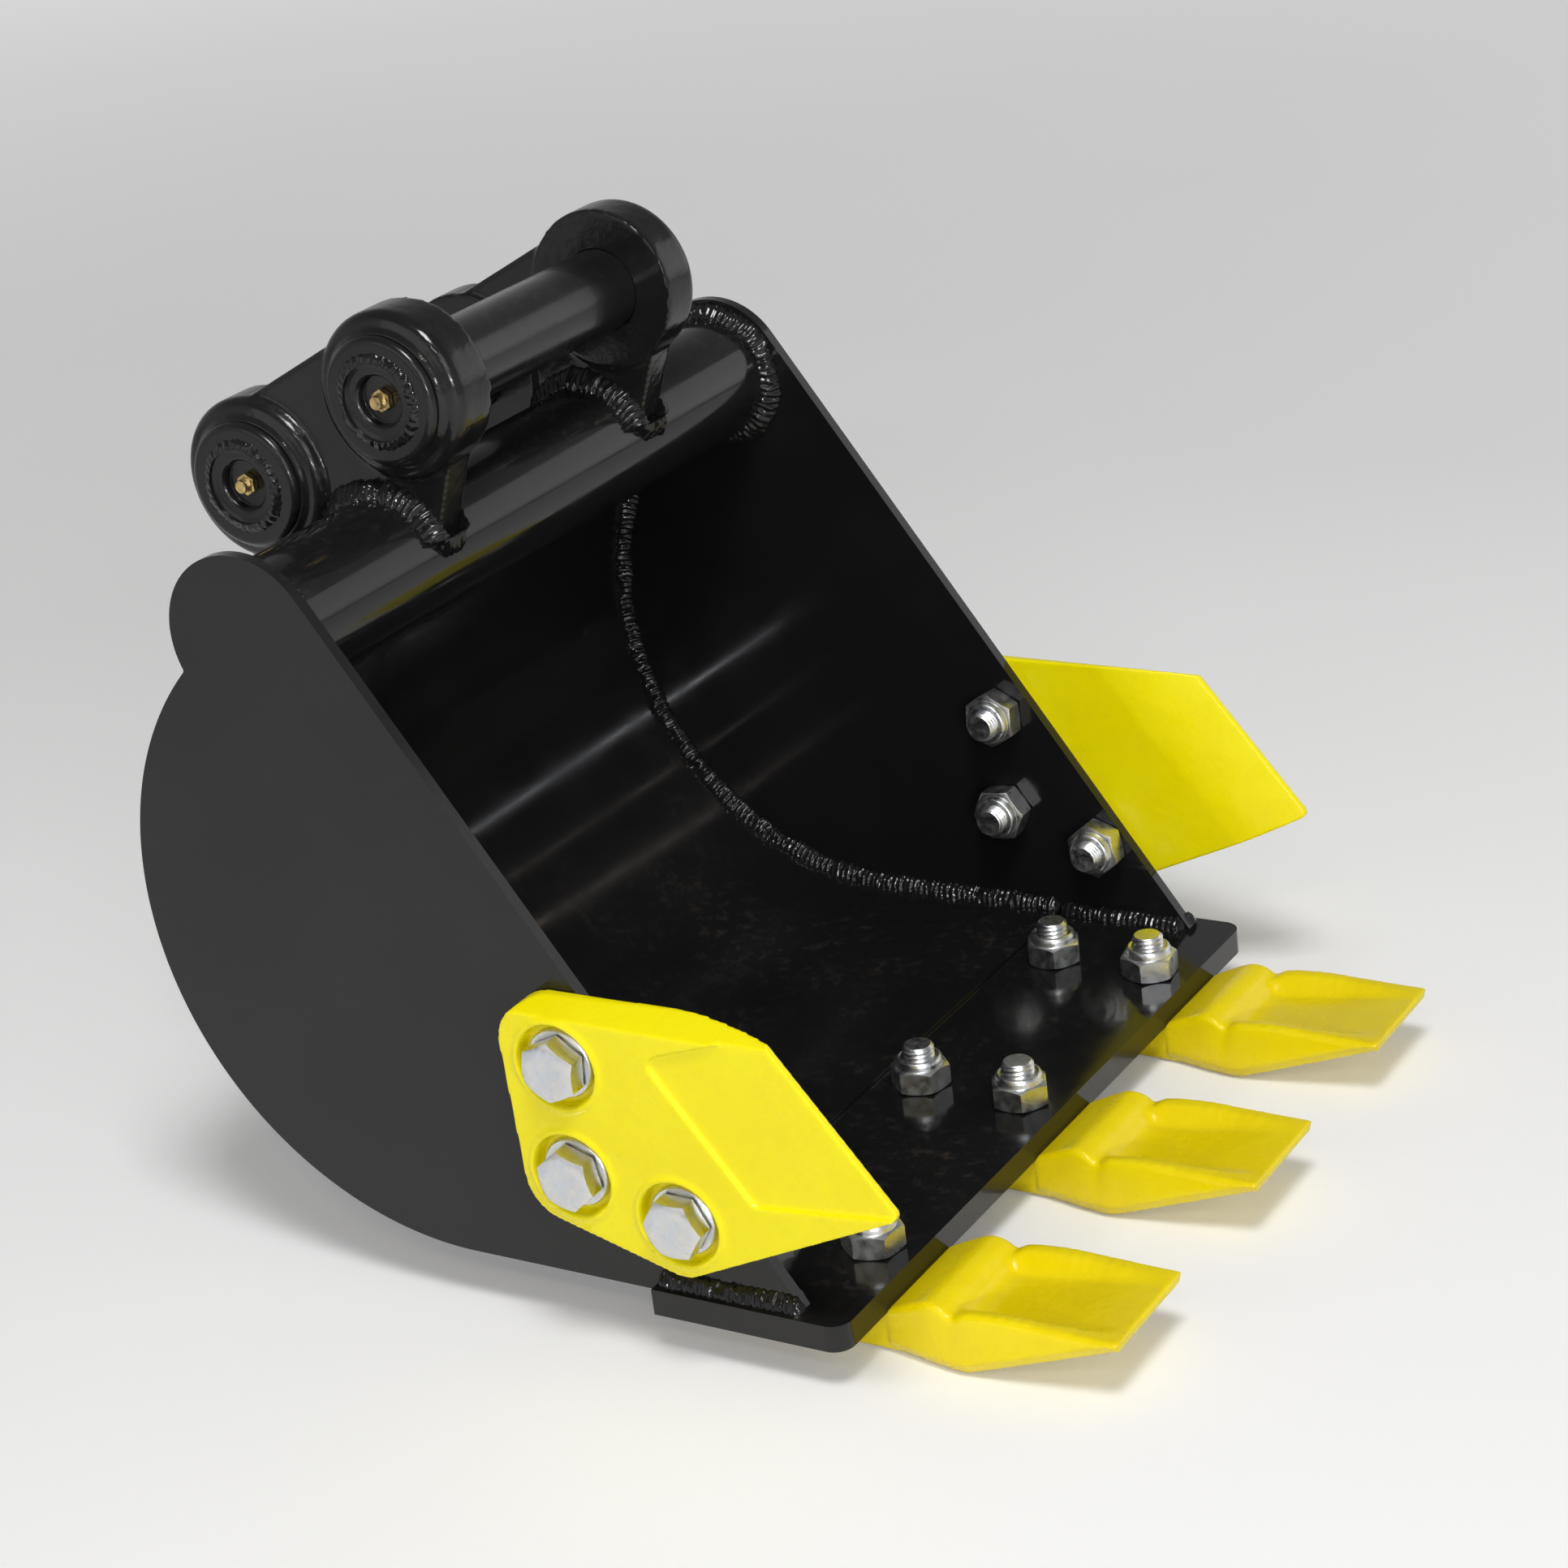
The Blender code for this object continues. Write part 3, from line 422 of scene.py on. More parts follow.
def yellow_paint(name, bright, deep):
    """Thick gloss yellow over rough castings, a shade deeper where it has sagged."""
    n = Nodes(name)
    sag = n.ramp(n.noise(0.045, 4.0), 0.0, 1.0, 0.35, 0.75)
    grime = n.ramp(n.noise(0.0035, 6.0, 0.7), 0.0, 0.55, 0.66, 0.80)
    paint = n.colour_mix(sag, deep, bright)
    n.link(n.colour_mix(grime, paint, (0.42, 0.32, 0.010)), n.shader.inputs["Base Color"])
    n.link(n.ramp(n.noise(0.020, 4.0, 0.6), 0.22, 0.40), n.shader.inputs["Roughness"])
    relief = n.bump(n.noise(0.0030, 3.0), 0.00007)
    relief = n.bump(n.noise(0.011, 4.0), 0.00045, relief)
    n.link(relief, n.shader.inputs["Normal"])
    n.shader.inputs["Specular IOR Level"].default_value = 0.30
    n.shader.inputs["Coat Weight"].default_value = 0.15
    n.shader.inputs["Coat Roughness"].default_value = 0.10
    return n.material


def zinc_plate():
    """Bright zinc plating with faint handling marks and a bluish cast."""
    n = Nodes("bright_zinc_plate")
    tint = n.ramp(n.noise(0.006, 3.0), 0.0, 1.0)
    marks = n.ramp(n.noise(0.0022, 5.0, 0.6), 0.0, 0.5, 0.58, 0.74)
    plate = n.colour_mix(tint, (0.66, 0.69, 0.73), (0.74, 0.73, 0.70))
    n.link(n.colour_mix(marks, plate, (0.50, 0.50, 0.49)), n.shader.inputs["Base Color"])
    n.link(n.ramp(n.noise(0.004, 5.0), 0.26, 0.42), n.shader.inputs["Roughness"])
    n.link(n.bump(n.noise(0.0012, 4.0), 0.00003), n.shader.inputs["Normal"])
    n.shader.inputs["Metallic"].default_value = 1.0
    return n.material


def nipple_brass():
    """Yellow fitting with a little grease on it in patches."""
    n = Nodes("nipple_brass_finish")
    grease = n.ramp(n.noise(0.003, 4.0), 0.0, 1.0, 0.45, 0.70)
    n.link(n.colour_mix(grease, (0.72, 0.53, 0.22), (0.16, 0.12, 0.06)),
           n.shader.inputs["Base Color"])
    n.link(n.ramp(n.noise(0.002, 3.0), 0.25, 0.45), n.shader.inputs["Roughness"])
    n.link(n.bump(n.noise(0.001, 3.0), 0.00003), n.shader.inputs["Normal"])
    n.shader.inputs["Metallic"].default_value = 1.0
    return n.material


FINISHES = {
    "black_paint": black_paint("gloss_black_plate", 0.000012, 0.000030, 0.08),
    "black_cast_paint": black_paint("gloss_black_casting", 0.00006, 0.00045, 0.13),
    "pin_black": black_paint("satin_black_steel", 0.00002, 0.00006, 0.20),
    "yellow_paint": yellow_paint("thick_yellow_paint", (0.89, 0.79, 0.0), (0.86, 0.74, 0.0)),
    "zinc_plate": zinc_plate(),
    "nipple_brass": nipple_brass(),
}


TOOTH_FINISH = yellow_paint("thick_yellow_paint_on_teeth", (0.86, 0.70, 0.0), (0.80, 0.62, 0.0))


def piece(name, mesh, slot, body="bucket", nodes=(), matrix=None, edge=0.0, sharp=35.0,
          finish=None):
    """A finished piece on its body. edge is the radius that its sharp edges are rounded to."""
    obj = temporary(name, mesh)
    obj.matrix_world = matrix or Matrix.Translation(ZERO)
    mesh.materials.clear()
    mesh.materials.append(finish or FINISHES[slot])
    mesh.shade_smooth()
    if edge:
        bevel = obj.modifiers.new("edges", "BEVEL")
        bevel.width = edge
        bevel.segments = 3
        bevel.limit_method = "ANGLE"
        bevel.angle_limit = math.radians(32)
        bevel.miter_outer = "MITER_ARC"
        normals = obj.modifiers.new("normals", "WEIGHTED_NORMAL")
        normals.keep_sharp = False
        normals.weight = 90
    elif sharp:
        mesh.set_sharp_from_angle(angle=math.radians(sharp))
    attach(obj, body)
    if nodes:
        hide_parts(*nodes)
    return obj


# ---------------------------------------------------------------- welded shell

def polar(centre, radius, degrees):
    return arc(centre, radius, degrees, degrees, 1)[0]


TUBE_APART = math.hypot(TUBE[0] - BACK[0], TUBE[1] - BACK[1])
TUBE_ANGLE = math.degrees(math.atan2(TUBE[1] - BACK[1], TUBE[0] - BACK[0]))


def meeting_angle(radius, other):
    """Angle at the round back's centre where its circle meets a circle about the tube."""
    cosine = (radius ** 2 + TUBE_APART ** 2 - other ** 2) / (2 * radius * TUBE_APART)
    return TUBE_ANGLE - math.degrees(math.acos(cosine))


WRAPPER_END = min(meeting_angle(WRAPPER_RADIUS, TUBE_RADIUS + GAP),
                  meeting_angle(WRAPPER_RADIUS - PLATE, TUBE_RADIUS + GAP))


def front_edge_angle():
    """Slope of the side plate's front edge, which runs tangent to the lobe."""
    y = TUBE[0] - PLATE_LOW.y
    z = TUBE[1]
    return math.degrees(math.atan2(z, y) + math.asin(LOBE_RADIUS / math.hypot(y, z)))


CUTTER_BOLTS = [middle("cutter_right_washer_" + number)[1:] for number in CUTTER_NUMBERS]


def make_side_plates():
    at_back = meeting_angle(BACK_RADIUS, LOBE_RADIUS)
    y, z = polar(BACK, BACK_RADIUS, at_back)
    at_lobe = math.degrees(math.atan2(z - TUBE[1], y - TUBE[0]))
    rear = LIP_DEPTH + GAP
    outline = [(PLATE_LOW.y, GAP), (rear, GAP), (rear, -FLOOR_DROP)]
    outline += arc(BACK, BACK_RADIUS, -90, at_back, 90)
    notch = len(outline) - 1
    outline += arc(TUBE, LOBE_RADIUS, at_lobe, front_edge_angle() + 90, 40)[1:]
    outline = rounded(outline, [NOTCH_RADIUS if i == notch else 0.0 for i in range(len(outline))])
    holes = [ring(bolt, THREAD_RADIUS + HOLE_CLEARANCE, 32) for bolt in CUTTER_BOLTS]
    centre = (PLATE_INNER + PLATE_OUTER) / 2
    for side, sign in SIDES:
        mesh = along_x(slab("side_plate", outline, PLATE_OUTER - PLATE_INNER, holes), sign * centre)
        piece("painted_side_plate_" + side, mesh, "black_paint", nodes=["side_plate_" + side],
              edge=0.0007)


def bent_arc(radius, start, end, steps):
    """The wrapper's curve, with the faint flats that pressing a plate in steps leaves in it."""
    points = []
    for i in range(steps + 1):
        degrees = start + (end - start) * i / steps
        flats = BEND_DEPTH * math.cos(math.tau * (degrees + BEND_PHASE) / BEND_STEP)
        flats *= math.sin(math.pi * i / steps)
        points.append(polar(BACK, radius - BEND_DEPTH + flats, degrees))
    return points


def make_wrapper():
    front = LIP_DEPTH + GAP
    bottom = BACK[1] - WRAPPER_RADIUS
    outline = [(front, bottom)] + bent_arc(WRAPPER_RADIUS, -90, WRAPPER_END, 220)
    outline += bent_arc(WRAPPER_RADIUS - PLATE, WRAPPER_END, -90, 220)
    outline += [(front, bottom + PLATE)]
    mesh = along_x(slab("wrapper", outline, 2 * (PLATE_INNER - GAP)))
    piece("painted_wrapper", mesh, "black_paint", nodes=["wrapper_plate"], edge=0.0006)


def make_top_tube():
    outline = ring((0, 0), TUBE_RADIUS, 96)
    bore = ring((0, 0), TUBE_RADIUS - TUBE_WALL, 64)
    mesh = along_x(slab("tube", outline, 2 * (PLATE_INNER - GAP), [bore]), 0.0, *TUBE)
    piece("painted_top_tube", mesh, "black_paint", nodes=["top_tube"], edge=0.0005)


def make_cutting_edge():
    half = LIP_HIGH.x
    corners = [(-half, 0), (half, 0), (half, LIP_DEPTH), (-half, LIP_DEPTH)]
    outline = rounded(corners, (0.008, 0.008, 0.0, 0.0), 12)
    holes = []
    for tooth in TEETH:
        for end in TOOTH_ENDS:
            place = middle("tooth_" + tooth + "_" + end + "_nut")[:2]
            holes.append(ring(place, THREAD_RADIUS + HOLE_CLEARANCE, 32))
    mesh = shifted(slab("lip", outline, LIP_THICKNESS, holes), z=-LIP_THICKNESS / 2)
    piece("painted_cutting_edge", mesh, "black_paint", nodes=["cutting_edge"], edge=0.0011)


# ---------------------------------------------------------------- weld beads

BEAD_STEP = 0.0005
BEAD_PITCH = 0.0028


def bead_shape(s, t, seed, rough):
    """Scale of a bead's bulge at length s and section place t: stacked scales on uneven metal."""
    phase = s / BEAD_PITCH + 1.1 * (t - 0.5) ** 2 + 0.4 * noise.noise((s * 90, seed, 0.0))
    scales = abs(math.sin(math.pi * phase))
    waves = noise.noise((s * 70, t * 0.8, seed + 5.0))
    lumps = noise.noise((s * 330, t * 2.5, seed + 9.0))
    return 0.94 + rough * (0.13 * scales + 0.18 * waves + 0.15 * lumps)


def bead(name, stations, leg_a, leg_b, seed, closed=False, rough=1.0, body="bucket"):
    """A fillet weld along stations of (corner, direction on wall A, direction on wall B)."""
    sections = 10
    sunk = 0.0003
    work = bmesh.new()
    loops = []
    length = 0.0
    total = sum((b[0] - a[0]).length for a, b in zip(stations, stations[1:]))
    for i, (corner, a, b) in enumerate(stations):
        if i:
            length += (corner - stations[i - 1][0]).length
        fade = 1.0 if closed else min(1.0, 0.35 + length / 0.004, 0.35 + (total - length) / 0.004)
        loop = []
        for k in range(sections + 1):
            t = k / sections
            bulge = (1.0 + 1.2 * t * (1 - t)) * bead_shape(length, t, seed, rough) * fade
            along = a * (leg_a * (1 - t) * bulge - sunk * t) + b * (leg_b * t * bulge - sunk * (1 - t))
            loop.append(work.verts.new(corner + along))
        loop.append(work.verts.new(corner - (a + b) * sunk))
        loops.append(loop)
    pairs = list(zip(loops, loops[1:]))
    if closed:
        pairs.append((loops[-1], loops[0]))
    for first, second in pairs:
        for k in range(len(first)):
            m = (k + 1) % len(first)
            work.faces.new((first[k], first[m], second[m], second[k]))
    if not closed:
        work.faces.new(loops[0])
        work.faces.new(reversed(loops[-1]))
    bmesh.ops.recalc_face_normals(work, faces=work.faces)
    return piece(name, finished(work, name), "black_paint", body, sharp=60.0)


def straight(start, end, a, b):
    """Bead stations along a straight corner."""
    start, end = Vector(start), Vector(end)
    count = max(2, round((end - start).length / BEAD_STEP))
    return [(start.lerp(end, i / count), Vector(a), Vector(b)) for i in range(count + 1)]


def round_corner(x, centre, radius, start, end, across, outward):
    """Bead stations on an arc in a plane of constant x. across is the wall direction along X,
    outward is 1 where the bead lies outside the circle and -1 where it lies inside."""
    count = max(8, round(radius * abs(math.radians(end - start)) / BEAD_STEP))
    stations = []
    for i in range(count + 1):
        degrees = start + (end - start) * i / count
        y, z = polar(centre, radius, degrees)
        away = Vector((0, math.cos(math.radians(degrees)), math.sin(math.radians(degrees))))
        stations.append((Vector((x, y, z)), Vector((across, 0, 0)), away * outward))
    return stations


def make_shell_beads():
    inner_radius = WRAPPER_RADIUS - PLATE
    floor_z = BACK[1] - inner_radius
    rear = LIP_DEPTH + GAP
    for side, sign in SIDES:
        x = sign * PLATE_INNER
        inward = -sign
        floor = straight((x, rear, floor_z), (x, BACK[0], floor_z), (inward, 0, 0), (0, 0, 1))
        curve = round_corner(x, BACK, inner_radius, -90, WRAPPER_END - 1.0, inward, -1)
        bead("weld_wrapper_inside_" + side, floor + curve[1:], 0.0046, 0.0050, 1.0 + sign,
             rough=1.4)
        bottom = BACK[1] - WRAPPER_RADIUS
        floor = straight((x, rear, bottom), (x, BACK[0], bottom), (inward, 0, 0), (0, 0, -1))
        curve = round_corner(x, BACK, WRAPPER_RADIUS, -90, WRAPPER_END - 1.0, inward, 1)
        bead("weld_wrapper_outside_" + side, floor + curve[1:], 0.0034, 0.0006, 4.0 + sign)
        foot = straight((x, PLATE_LOW.y + 0.002, 0), (x, rear, 0), (inward, 0, 0), (0, 0, 1))
        bead("weld_foot_inside_" + side, foot, 0.0048, 0.0050, 7.0 + sign)
        outer = sign * PLATE_OUTER
        foot = straight((outer, PLATE_LOW.y - 0.001, 0), (outer, rear, 0), (sign, 0, 0), (0, 0, 1))
        bead("weld_foot_outside_" + side, foot, 0.0044, 0.0056, 10.0 + sign)
        ends = round_corner(x, TUBE, TUBE_RADIUS, 0, 360, inward, 1)[:-1]
        bead("weld_tube_end_" + side, ends, 0.0056, 0.0056, 13.0 + sign, closed=True, rough=1.3)


def make_cross_beads():
    half = PLATE_INNER - 0.001
    rear = LIP_DEPTH + GAP
    bottom = BACK[1] - WRAPPER_RADIUS
    under = straight((-half, rear, bottom), (half, rear, bottom), (0, 1, 0), (0, 0, -1))
    bead("weld_lip_underside", under, 0.0050, 0.0050, 20.0)
    y, z = polar(BACK, WRAPPER_RADIUS, WRAPPER_END)
    degrees = math.radians(WRAPPER_END)
    down = Vector((0, math.sin(degrees), -math.cos(degrees)))
    tube_out = Vector((0, y - TUBE[0], z - TUBE[1])).normalized()
    up = Vector((0, -tube_out.z, tube_out.y))
    if up.dot(Vector((0, math.cos(degrees), math.sin(degrees)))) < 0:
        up = -up
    bead("weld_tube_back", straight((-half, y, z), (half, y, z), down, up), 0.0045, 0.0050, 23.0)


# ---------------------------------------------------------------- ears

def web_outline():
    slope = math.degrees(math.atan2(LINK_PIN[1] - ARM_PIN[1], LINK_PIN[0] - ARM_PIN[0]))
    points = arc(LINK_PIN, WEB_RADIUS, -45, slope + 90, 28)
    points += arc(ARM_PIN, WEB_RADIUS, slope + 90, 214, 32)
    points += arc(TUBE, TUBE_RADIUS + GAP, 160, -15, 40)
    points += arc(BACK, WRAPPER_RADIUS + GAP, WRAPPER_END, 35, 10)
    return points


def make_ears():
    """Cast ears: bosses and web melted together, then bored for the pins."""
    inner = EAR_LOW.x
    web_x = inner + WEB_SET_BACK + WEB_THICKNESS / 2
    solids = [along_x(slab("web", web_outline(), WEB_THICKNESS), web_x)]
    bores = []
    for pin in (ARM_PIN, LINK_PIN):
        top = BOSS_LENGTH
        round_edge = arc((BOSS_RADIUS - 0.005, top - 0.005), 0.005, 90, 0, 8)
        profile = [(0, top)] + round_edge + [(BOSS_RADIUS, 0), (0, 0)]
        solids.append(along_x(turned("boss", profile, 96), inner, *pin))
        collar = [(0, top + COLLAR_HEIGHT), (COLLAR_RADIUS - 0.0010, top + COLLAR_HEIGHT),
                  (COLLAR_RADIUS, top + 0.0006), (COLLAR_RADIUS + 0.0008, top - 0.001),
                  (0, top - 0.001)]
        solids.append(along_x(turned("collar", collar, 96), inner, *pin))
        bores.append(("DIFFERENCE", along_x(rod(PIN_RADIUS + GAP, -SPARE, top + SPARE, 96),
                                            inner, *pin)))
    right = combined("ear", cast("ear", solids, 0.0010, 5), bores)
    for side, mesh in (("right", right), ("left", mirrored(right))):
        piece("cast_ear_" + side, mesh, "black_cast_paint", nodes=["ear_" + side], sharp=50.0)


def make_ear_beads():
    inner = EAR_LOW.x + WEB_SET_BACK
    outer = inner + WEB_THICKNESS
    for side, sign in SIDES:
        for label, x, across in (("inner", inner, -sign), ("outer", outer, sign)):
            saddle = round_corner(sign * x, TUBE, TUBE_RADIUS, 163, 8, across, 1)
            bead("weld_ear_" + side + "_" + label, saddle, 0.0063, 0.0066, 30.0 + sign + x,
                 rough=1.3)
            tail = round_corner(sign * x, BACK, WRAPPER_RADIUS, WRAPPER_END - 1.5, 35, across, 1)
            bead("weld_tail_" + side + "_" + label, tail, 0.0052, 0.0056, 40.0 + sign + x,
                 rough=1.3)
        toe_y, toe_z = polar(TUBE, TUBE_RADIUS, 161)
        angle = math.radians(161)
        away = Vector((0, math.cos(angle), math.sin(angle)))
        down = Vector((0, -math.sin(angle), math.cos(angle)))
        toe = straight((sign * inner, toe_y, toe_z), (sign * outer, toe_y, toe_z), down, away)
        bead("weld_toe_" + side, toe, 0.0058, 0.0058, 50.0 + sign, rough=1.5)


# ---------------------------------------------------------------- pins

def make_pins():
    seat = -(EAR_HIGH.x + GAP)
    low, high = span("arm_pin")
    rim = low.x
    face = rim + 0.0024
    end = high.x
    recess = 0.010
    floor = rim + 0.007
    profile = [(0, end), (PIN_RADIUS - 0.0015, end), (PIN_RADIUS, end - 0.0015), (PIN_RADIUS, seat),
               (0.0252, seat), (0.026, seat - 0.0008)]
    profile += arc((0.0230, face + 0.0030), 0.0030, 0, -90, 8)
    profile += [(0.0182, face), (0.0160, face - 0.0003), (0.0138, face + 0.0005),
                (recess + 0.0012, face + 0.0006), (recess, face + 0.0018), (recess, floor),
                (0.0034, floor), (0.0034, floor + 0.004), (0, floor + 0.004)]
    for number, (pin, place) in enumerate((("arm_pin", ARM_PIN), ("link_pin", LINK_PIN))):
        mesh = along_x(turned("pin", rounded_profile(profile, 0.0005), 96), 0.0, *place)
        piece("turned_" + pin, mesh, "pin_black", pin + "_body", [pin], sharp=40.0)
        ring_bead = round_corner(face, place, 0.0158, 0, 360, -1, 1)[:-1]
        bead("weld_ring_" + pin, ring_bead, 0.72 * (face - rim), 0.0034, 60.0 + number,
             closed=True, rough=1.5, body=pin + "_body")
        make_nipple(pin, place)
        make_pin_end(pin, place)


def make_nipple(pin, place):
    low, high = span(pin + "_nipple")
    seat = high.x - 0.008
    under = seat - 0.0025
    tip = low.x
    body = [(0, under + 0.001), (0.0034, under + 0.001), (0.0030, under - 0.0004),
            (0.0019, under - 0.0012), (0.0019, tip + 0.0016), (0.0028, tip + 0.0010),
            (0.0026, tip + 0.0002), (0.0012, tip), (0, tip)]
    chamfer = turned("chamfer", [(0, seat), (0.006, seat), (0.006, under + 0.0009),
                                 (0.0040, under), (0, under)], 48)
    flats = combined("flats", hexagon(0.008, under, seat), [("INTERSECT", chamfer)])
    mesh = along_x(joined("nipple", [flats, turned("neck", body, 40)]), 0.0, *place)
    piece("grease_" + pin + "_nipple", mesh, "nipple_brass", pin + "_body", [pin + "_nipple"])


def make_pin_end(pin, place):
    low, high = span(pin + "_end_washer")
    hole = 0.0063
    outer = (high.z - low.z) / 2
    profile = [(hole, high.x), (outer, high.x), (outer, low.x), (hole, low.x)]
    washer = along_x(turned("end_washer", profile, 96, closed=True), 0.0, *place)
    piece("plated_" + pin + "_washer", washer, "zinc_plate", pin + "_body", [pin + "_end_washer"],
          edge=0.0008)
    low, high = span(pin + "_end_bolt")
    head = 0.0075
    mesh = bolt_head(0.018, head)
    matrix = turned_to((1, 0, 0), (high.x - head, *place), 17)
    piece("plated_" + pin + "_bolt", mesh, "zinc_plate", pin + "_body", [pin + "_end_bolt"],
          matrix=matrix)


# ---------------------------------------------------------------- fasteners

def turned_to(direction, place, degrees=0.0):
    """Matrix that puts a piece's own Z along a direction, at a place in the design frame."""
    spin = Matrix.Rotation(math.radians(degrees), 4, "Z")
    aim = Vector((0, 0, 1)).rotation_difference(Vector(direction)).to_matrix().to_4x4()
    return Matrix.Translation(ZERO + Vector(place)) @ aim @ spin


def bolt_head(across, height):
    """Hexagon head with its chamfered crown and a washer face below, seat at 0."""
    corner = across / math.sqrt(3)
    flat = across / 2
    crown = [(0, height - 0.0003), (flat * 0.50, height - 0.0003), (flat * 0.60, height),
             (flat * 0.94, height), (corner + 0.0002, height - 0.0016),
             (corner + 0.0002, 0.0005), (flat * 0.97, 0.0005), (flat * 0.95, 0), (0, 0)]
    return combined("bolt_head", hexagon(across, 0, height),
                    [("INTERSECT", turned("crown", crown, 64))])


def thread(bottom, top, plain_end):
    """Threaded end of a bolt from bottom to top, with its chamfered tip at the top."""
    around = 36
    rows = round((top - bottom) / (THREAD_PITCH / 8))
    heights = [plain_end] + [bottom + (top - bottom) * i / rows for i in range(rows + 1)]
    work = bmesh.new()
    loops = []
    for height in heights:
        loop = []
        for k in range(around):
            turn = k / around
            wave = abs(2 * ((height / THREAD_PITCH - turn) % 1.0) - 1)
            radius = THREAD_RADIUS - THREAD_DEPTH * min(1.0, 1.25 * wave)
            radius = min(radius, THREAD_RADIUS - 0.0014 + (top - height))
            if height == plain_end:
                radius = THREAD_RADIUS - THREAD_DEPTH
            angle = math.tau * turn
            loop.append(work.verts.new((radius * math.cos(angle), radius * math.sin(angle), height)))
        loops.append(loop)
    for first, second in zip(loops, loops[1:]):
        for k in range(around):
            m = (k + 1) % around
            work.faces.new((first[k], first[m], second[m], second[k]))
    work.faces.new(reversed(loops[0]))
    work.faces.new(loops[-1])
    return finished(work, "thread")


def nut(height):
    """Locking nut: chamfered hexagon under a rolled collar, bored for its bolt, seat at 0."""
    reach = NUT_CORNER + 0.0002
    crown = [(0, NUT_HEIGHT), (0.0104, NUT_HEIGHT), (reach, NUT_HEIGHT - 0.0014), (reach, 0.0010),
             (0.0108, 0), (0, 0)]
    chamfer = turned("chamfer", crown, 64)
    flats = combined("flats", hexagon(HEX, 0, NUT_HEIGHT), [("INTERSECT", chamfer)])
    collar = [(0, height - 0.0006), (0.0079, height - 0.0003), (0.0085, height),
              (0.0093, height - 0.0005), (0.0098, height - 0.0016), (0.0100, NUT_HEIGHT + 0.0003),
              (0.0103, NUT_HEIGHT - 0.001), (0, NUT_HEIGHT - 0.001)]
    collar_mesh = turned("collar", rounded_profile(collar, 0.0003), 64)
    bore = rod(THREAD_RADIUS + 0.0001, -SPARE, height + SPARE, 48)
    return combined("nut", flats, [("UNION", collar_mesh), ("DIFFERENCE", bore)])


def washer(thickness, radius):
    hole = THREAD_RADIUS + 0.0005
    profile = [(hole, thickness), (radius - 0.0004, thickness), (radius, thickness - 0.0004),
               (radius, 0.0003), (radius - 0.0003, 0), (hole, 0)]
    return turned("washer", profile, 64, closed=True)


def plated(node, mesh, direction, place, degrees=0.0):
    """A zinc-plated piece in place of a CAD node of the bucket's body."""
    piece("plated_" + node, mesh, "zinc_plate", nodes=[node],
          matrix=turned_to(direction, place, degrees))


def make_cutter_fasteners():
    """Bolt, washer and nut of each side cutter hole, every hexagon at its own angle."""
    clock = 8
    for side, sign in SIDES:
        for number in CUTTER_NUMBERS:
            names = ["cutter_" + side + "_" + kind + "_" + number
                     for kind in ("washer", "bolt", "nut")]
            clock += 17
            low, high = span(names[0])
            place = middle(names[0])[1:]
            inner = min(abs(low.x), abs(high.x))
            mesh = washer(high.x - low.x, (high.z - low.z) / 2)
            plated(names[0], mesh, (sign, 0, 0), (sign * inner, *place))
            low, high = span(names[1])
            outer = max(abs(low.x), abs(high.x))
            tip = min(abs(low.x), abs(high.x))
            reach = outer - HEX_HEAD - tip
            shank = thread(0.0, THREAD_LENGTH, -(reach - THREAD_LENGTH + 0.002))
            shank.transform(Matrix.Rotation(math.pi, 4, "X"))
            shifted(shank, z=-reach + THREAD_LENGTH)
            mesh = joined("bolt", [bolt_head(HEX, HEX_HEAD), shank])
            plated(names[1], mesh, (sign, 0, 0), (sign * (outer - HEX_HEAD), *place), clock)
            low, high = span(names[2])
            outer = max(abs(low.x), abs(high.x))
            plated(names[2], nut(high.x - low.x), (-sign, 0, 0), (sign * outer, *place), clock * 2)


def make_tooth_fasteners():
    """Sunk bolt and nut of each tooth hole, every nut at its own angle."""
    clock = 3
    for tooth in TEETH:
        for end in TOOTH_ENDS:
            clock += 19
            label = "tooth_" + tooth + "_" + end
            low, high = span(label + "_bolt")
            x, y, _ = middle(label + "_bolt")
            cone = (high.x - low.x) / 2
            head = [(0, SUNK_CONE), (THREAD_RADIUS, SUNK_CONE), (cone, 0.0008), (cone, 0.0003),
                    (cone - 0.0003, 0), (0, 0)]
            top = high.z - low.z
            shank = thread(top - THREAD_LENGTH, top, 0.004)
            mesh = joined("sunk_bolt", [turned("head", head, 64), shank])
            plated(label + "_bolt", mesh, (0, 0, 1), (x, y, low.z), clock)
            low, high = span(label + "_nut")
            plated(label + "_nut", nut(high.z - low.z), (0, 0, 1), (x, y, low.z), clock)


# ---------------------------------------------------------------- teeth

STRAP_TOP = -LIP_THICKNESS - GAP
STRAP_WIDTH = 0.050
STRAP_THICK = 0.010          # behind the step in its underside
STRAP_STEP = (0.036, 0.048)  # where that step begins and ends


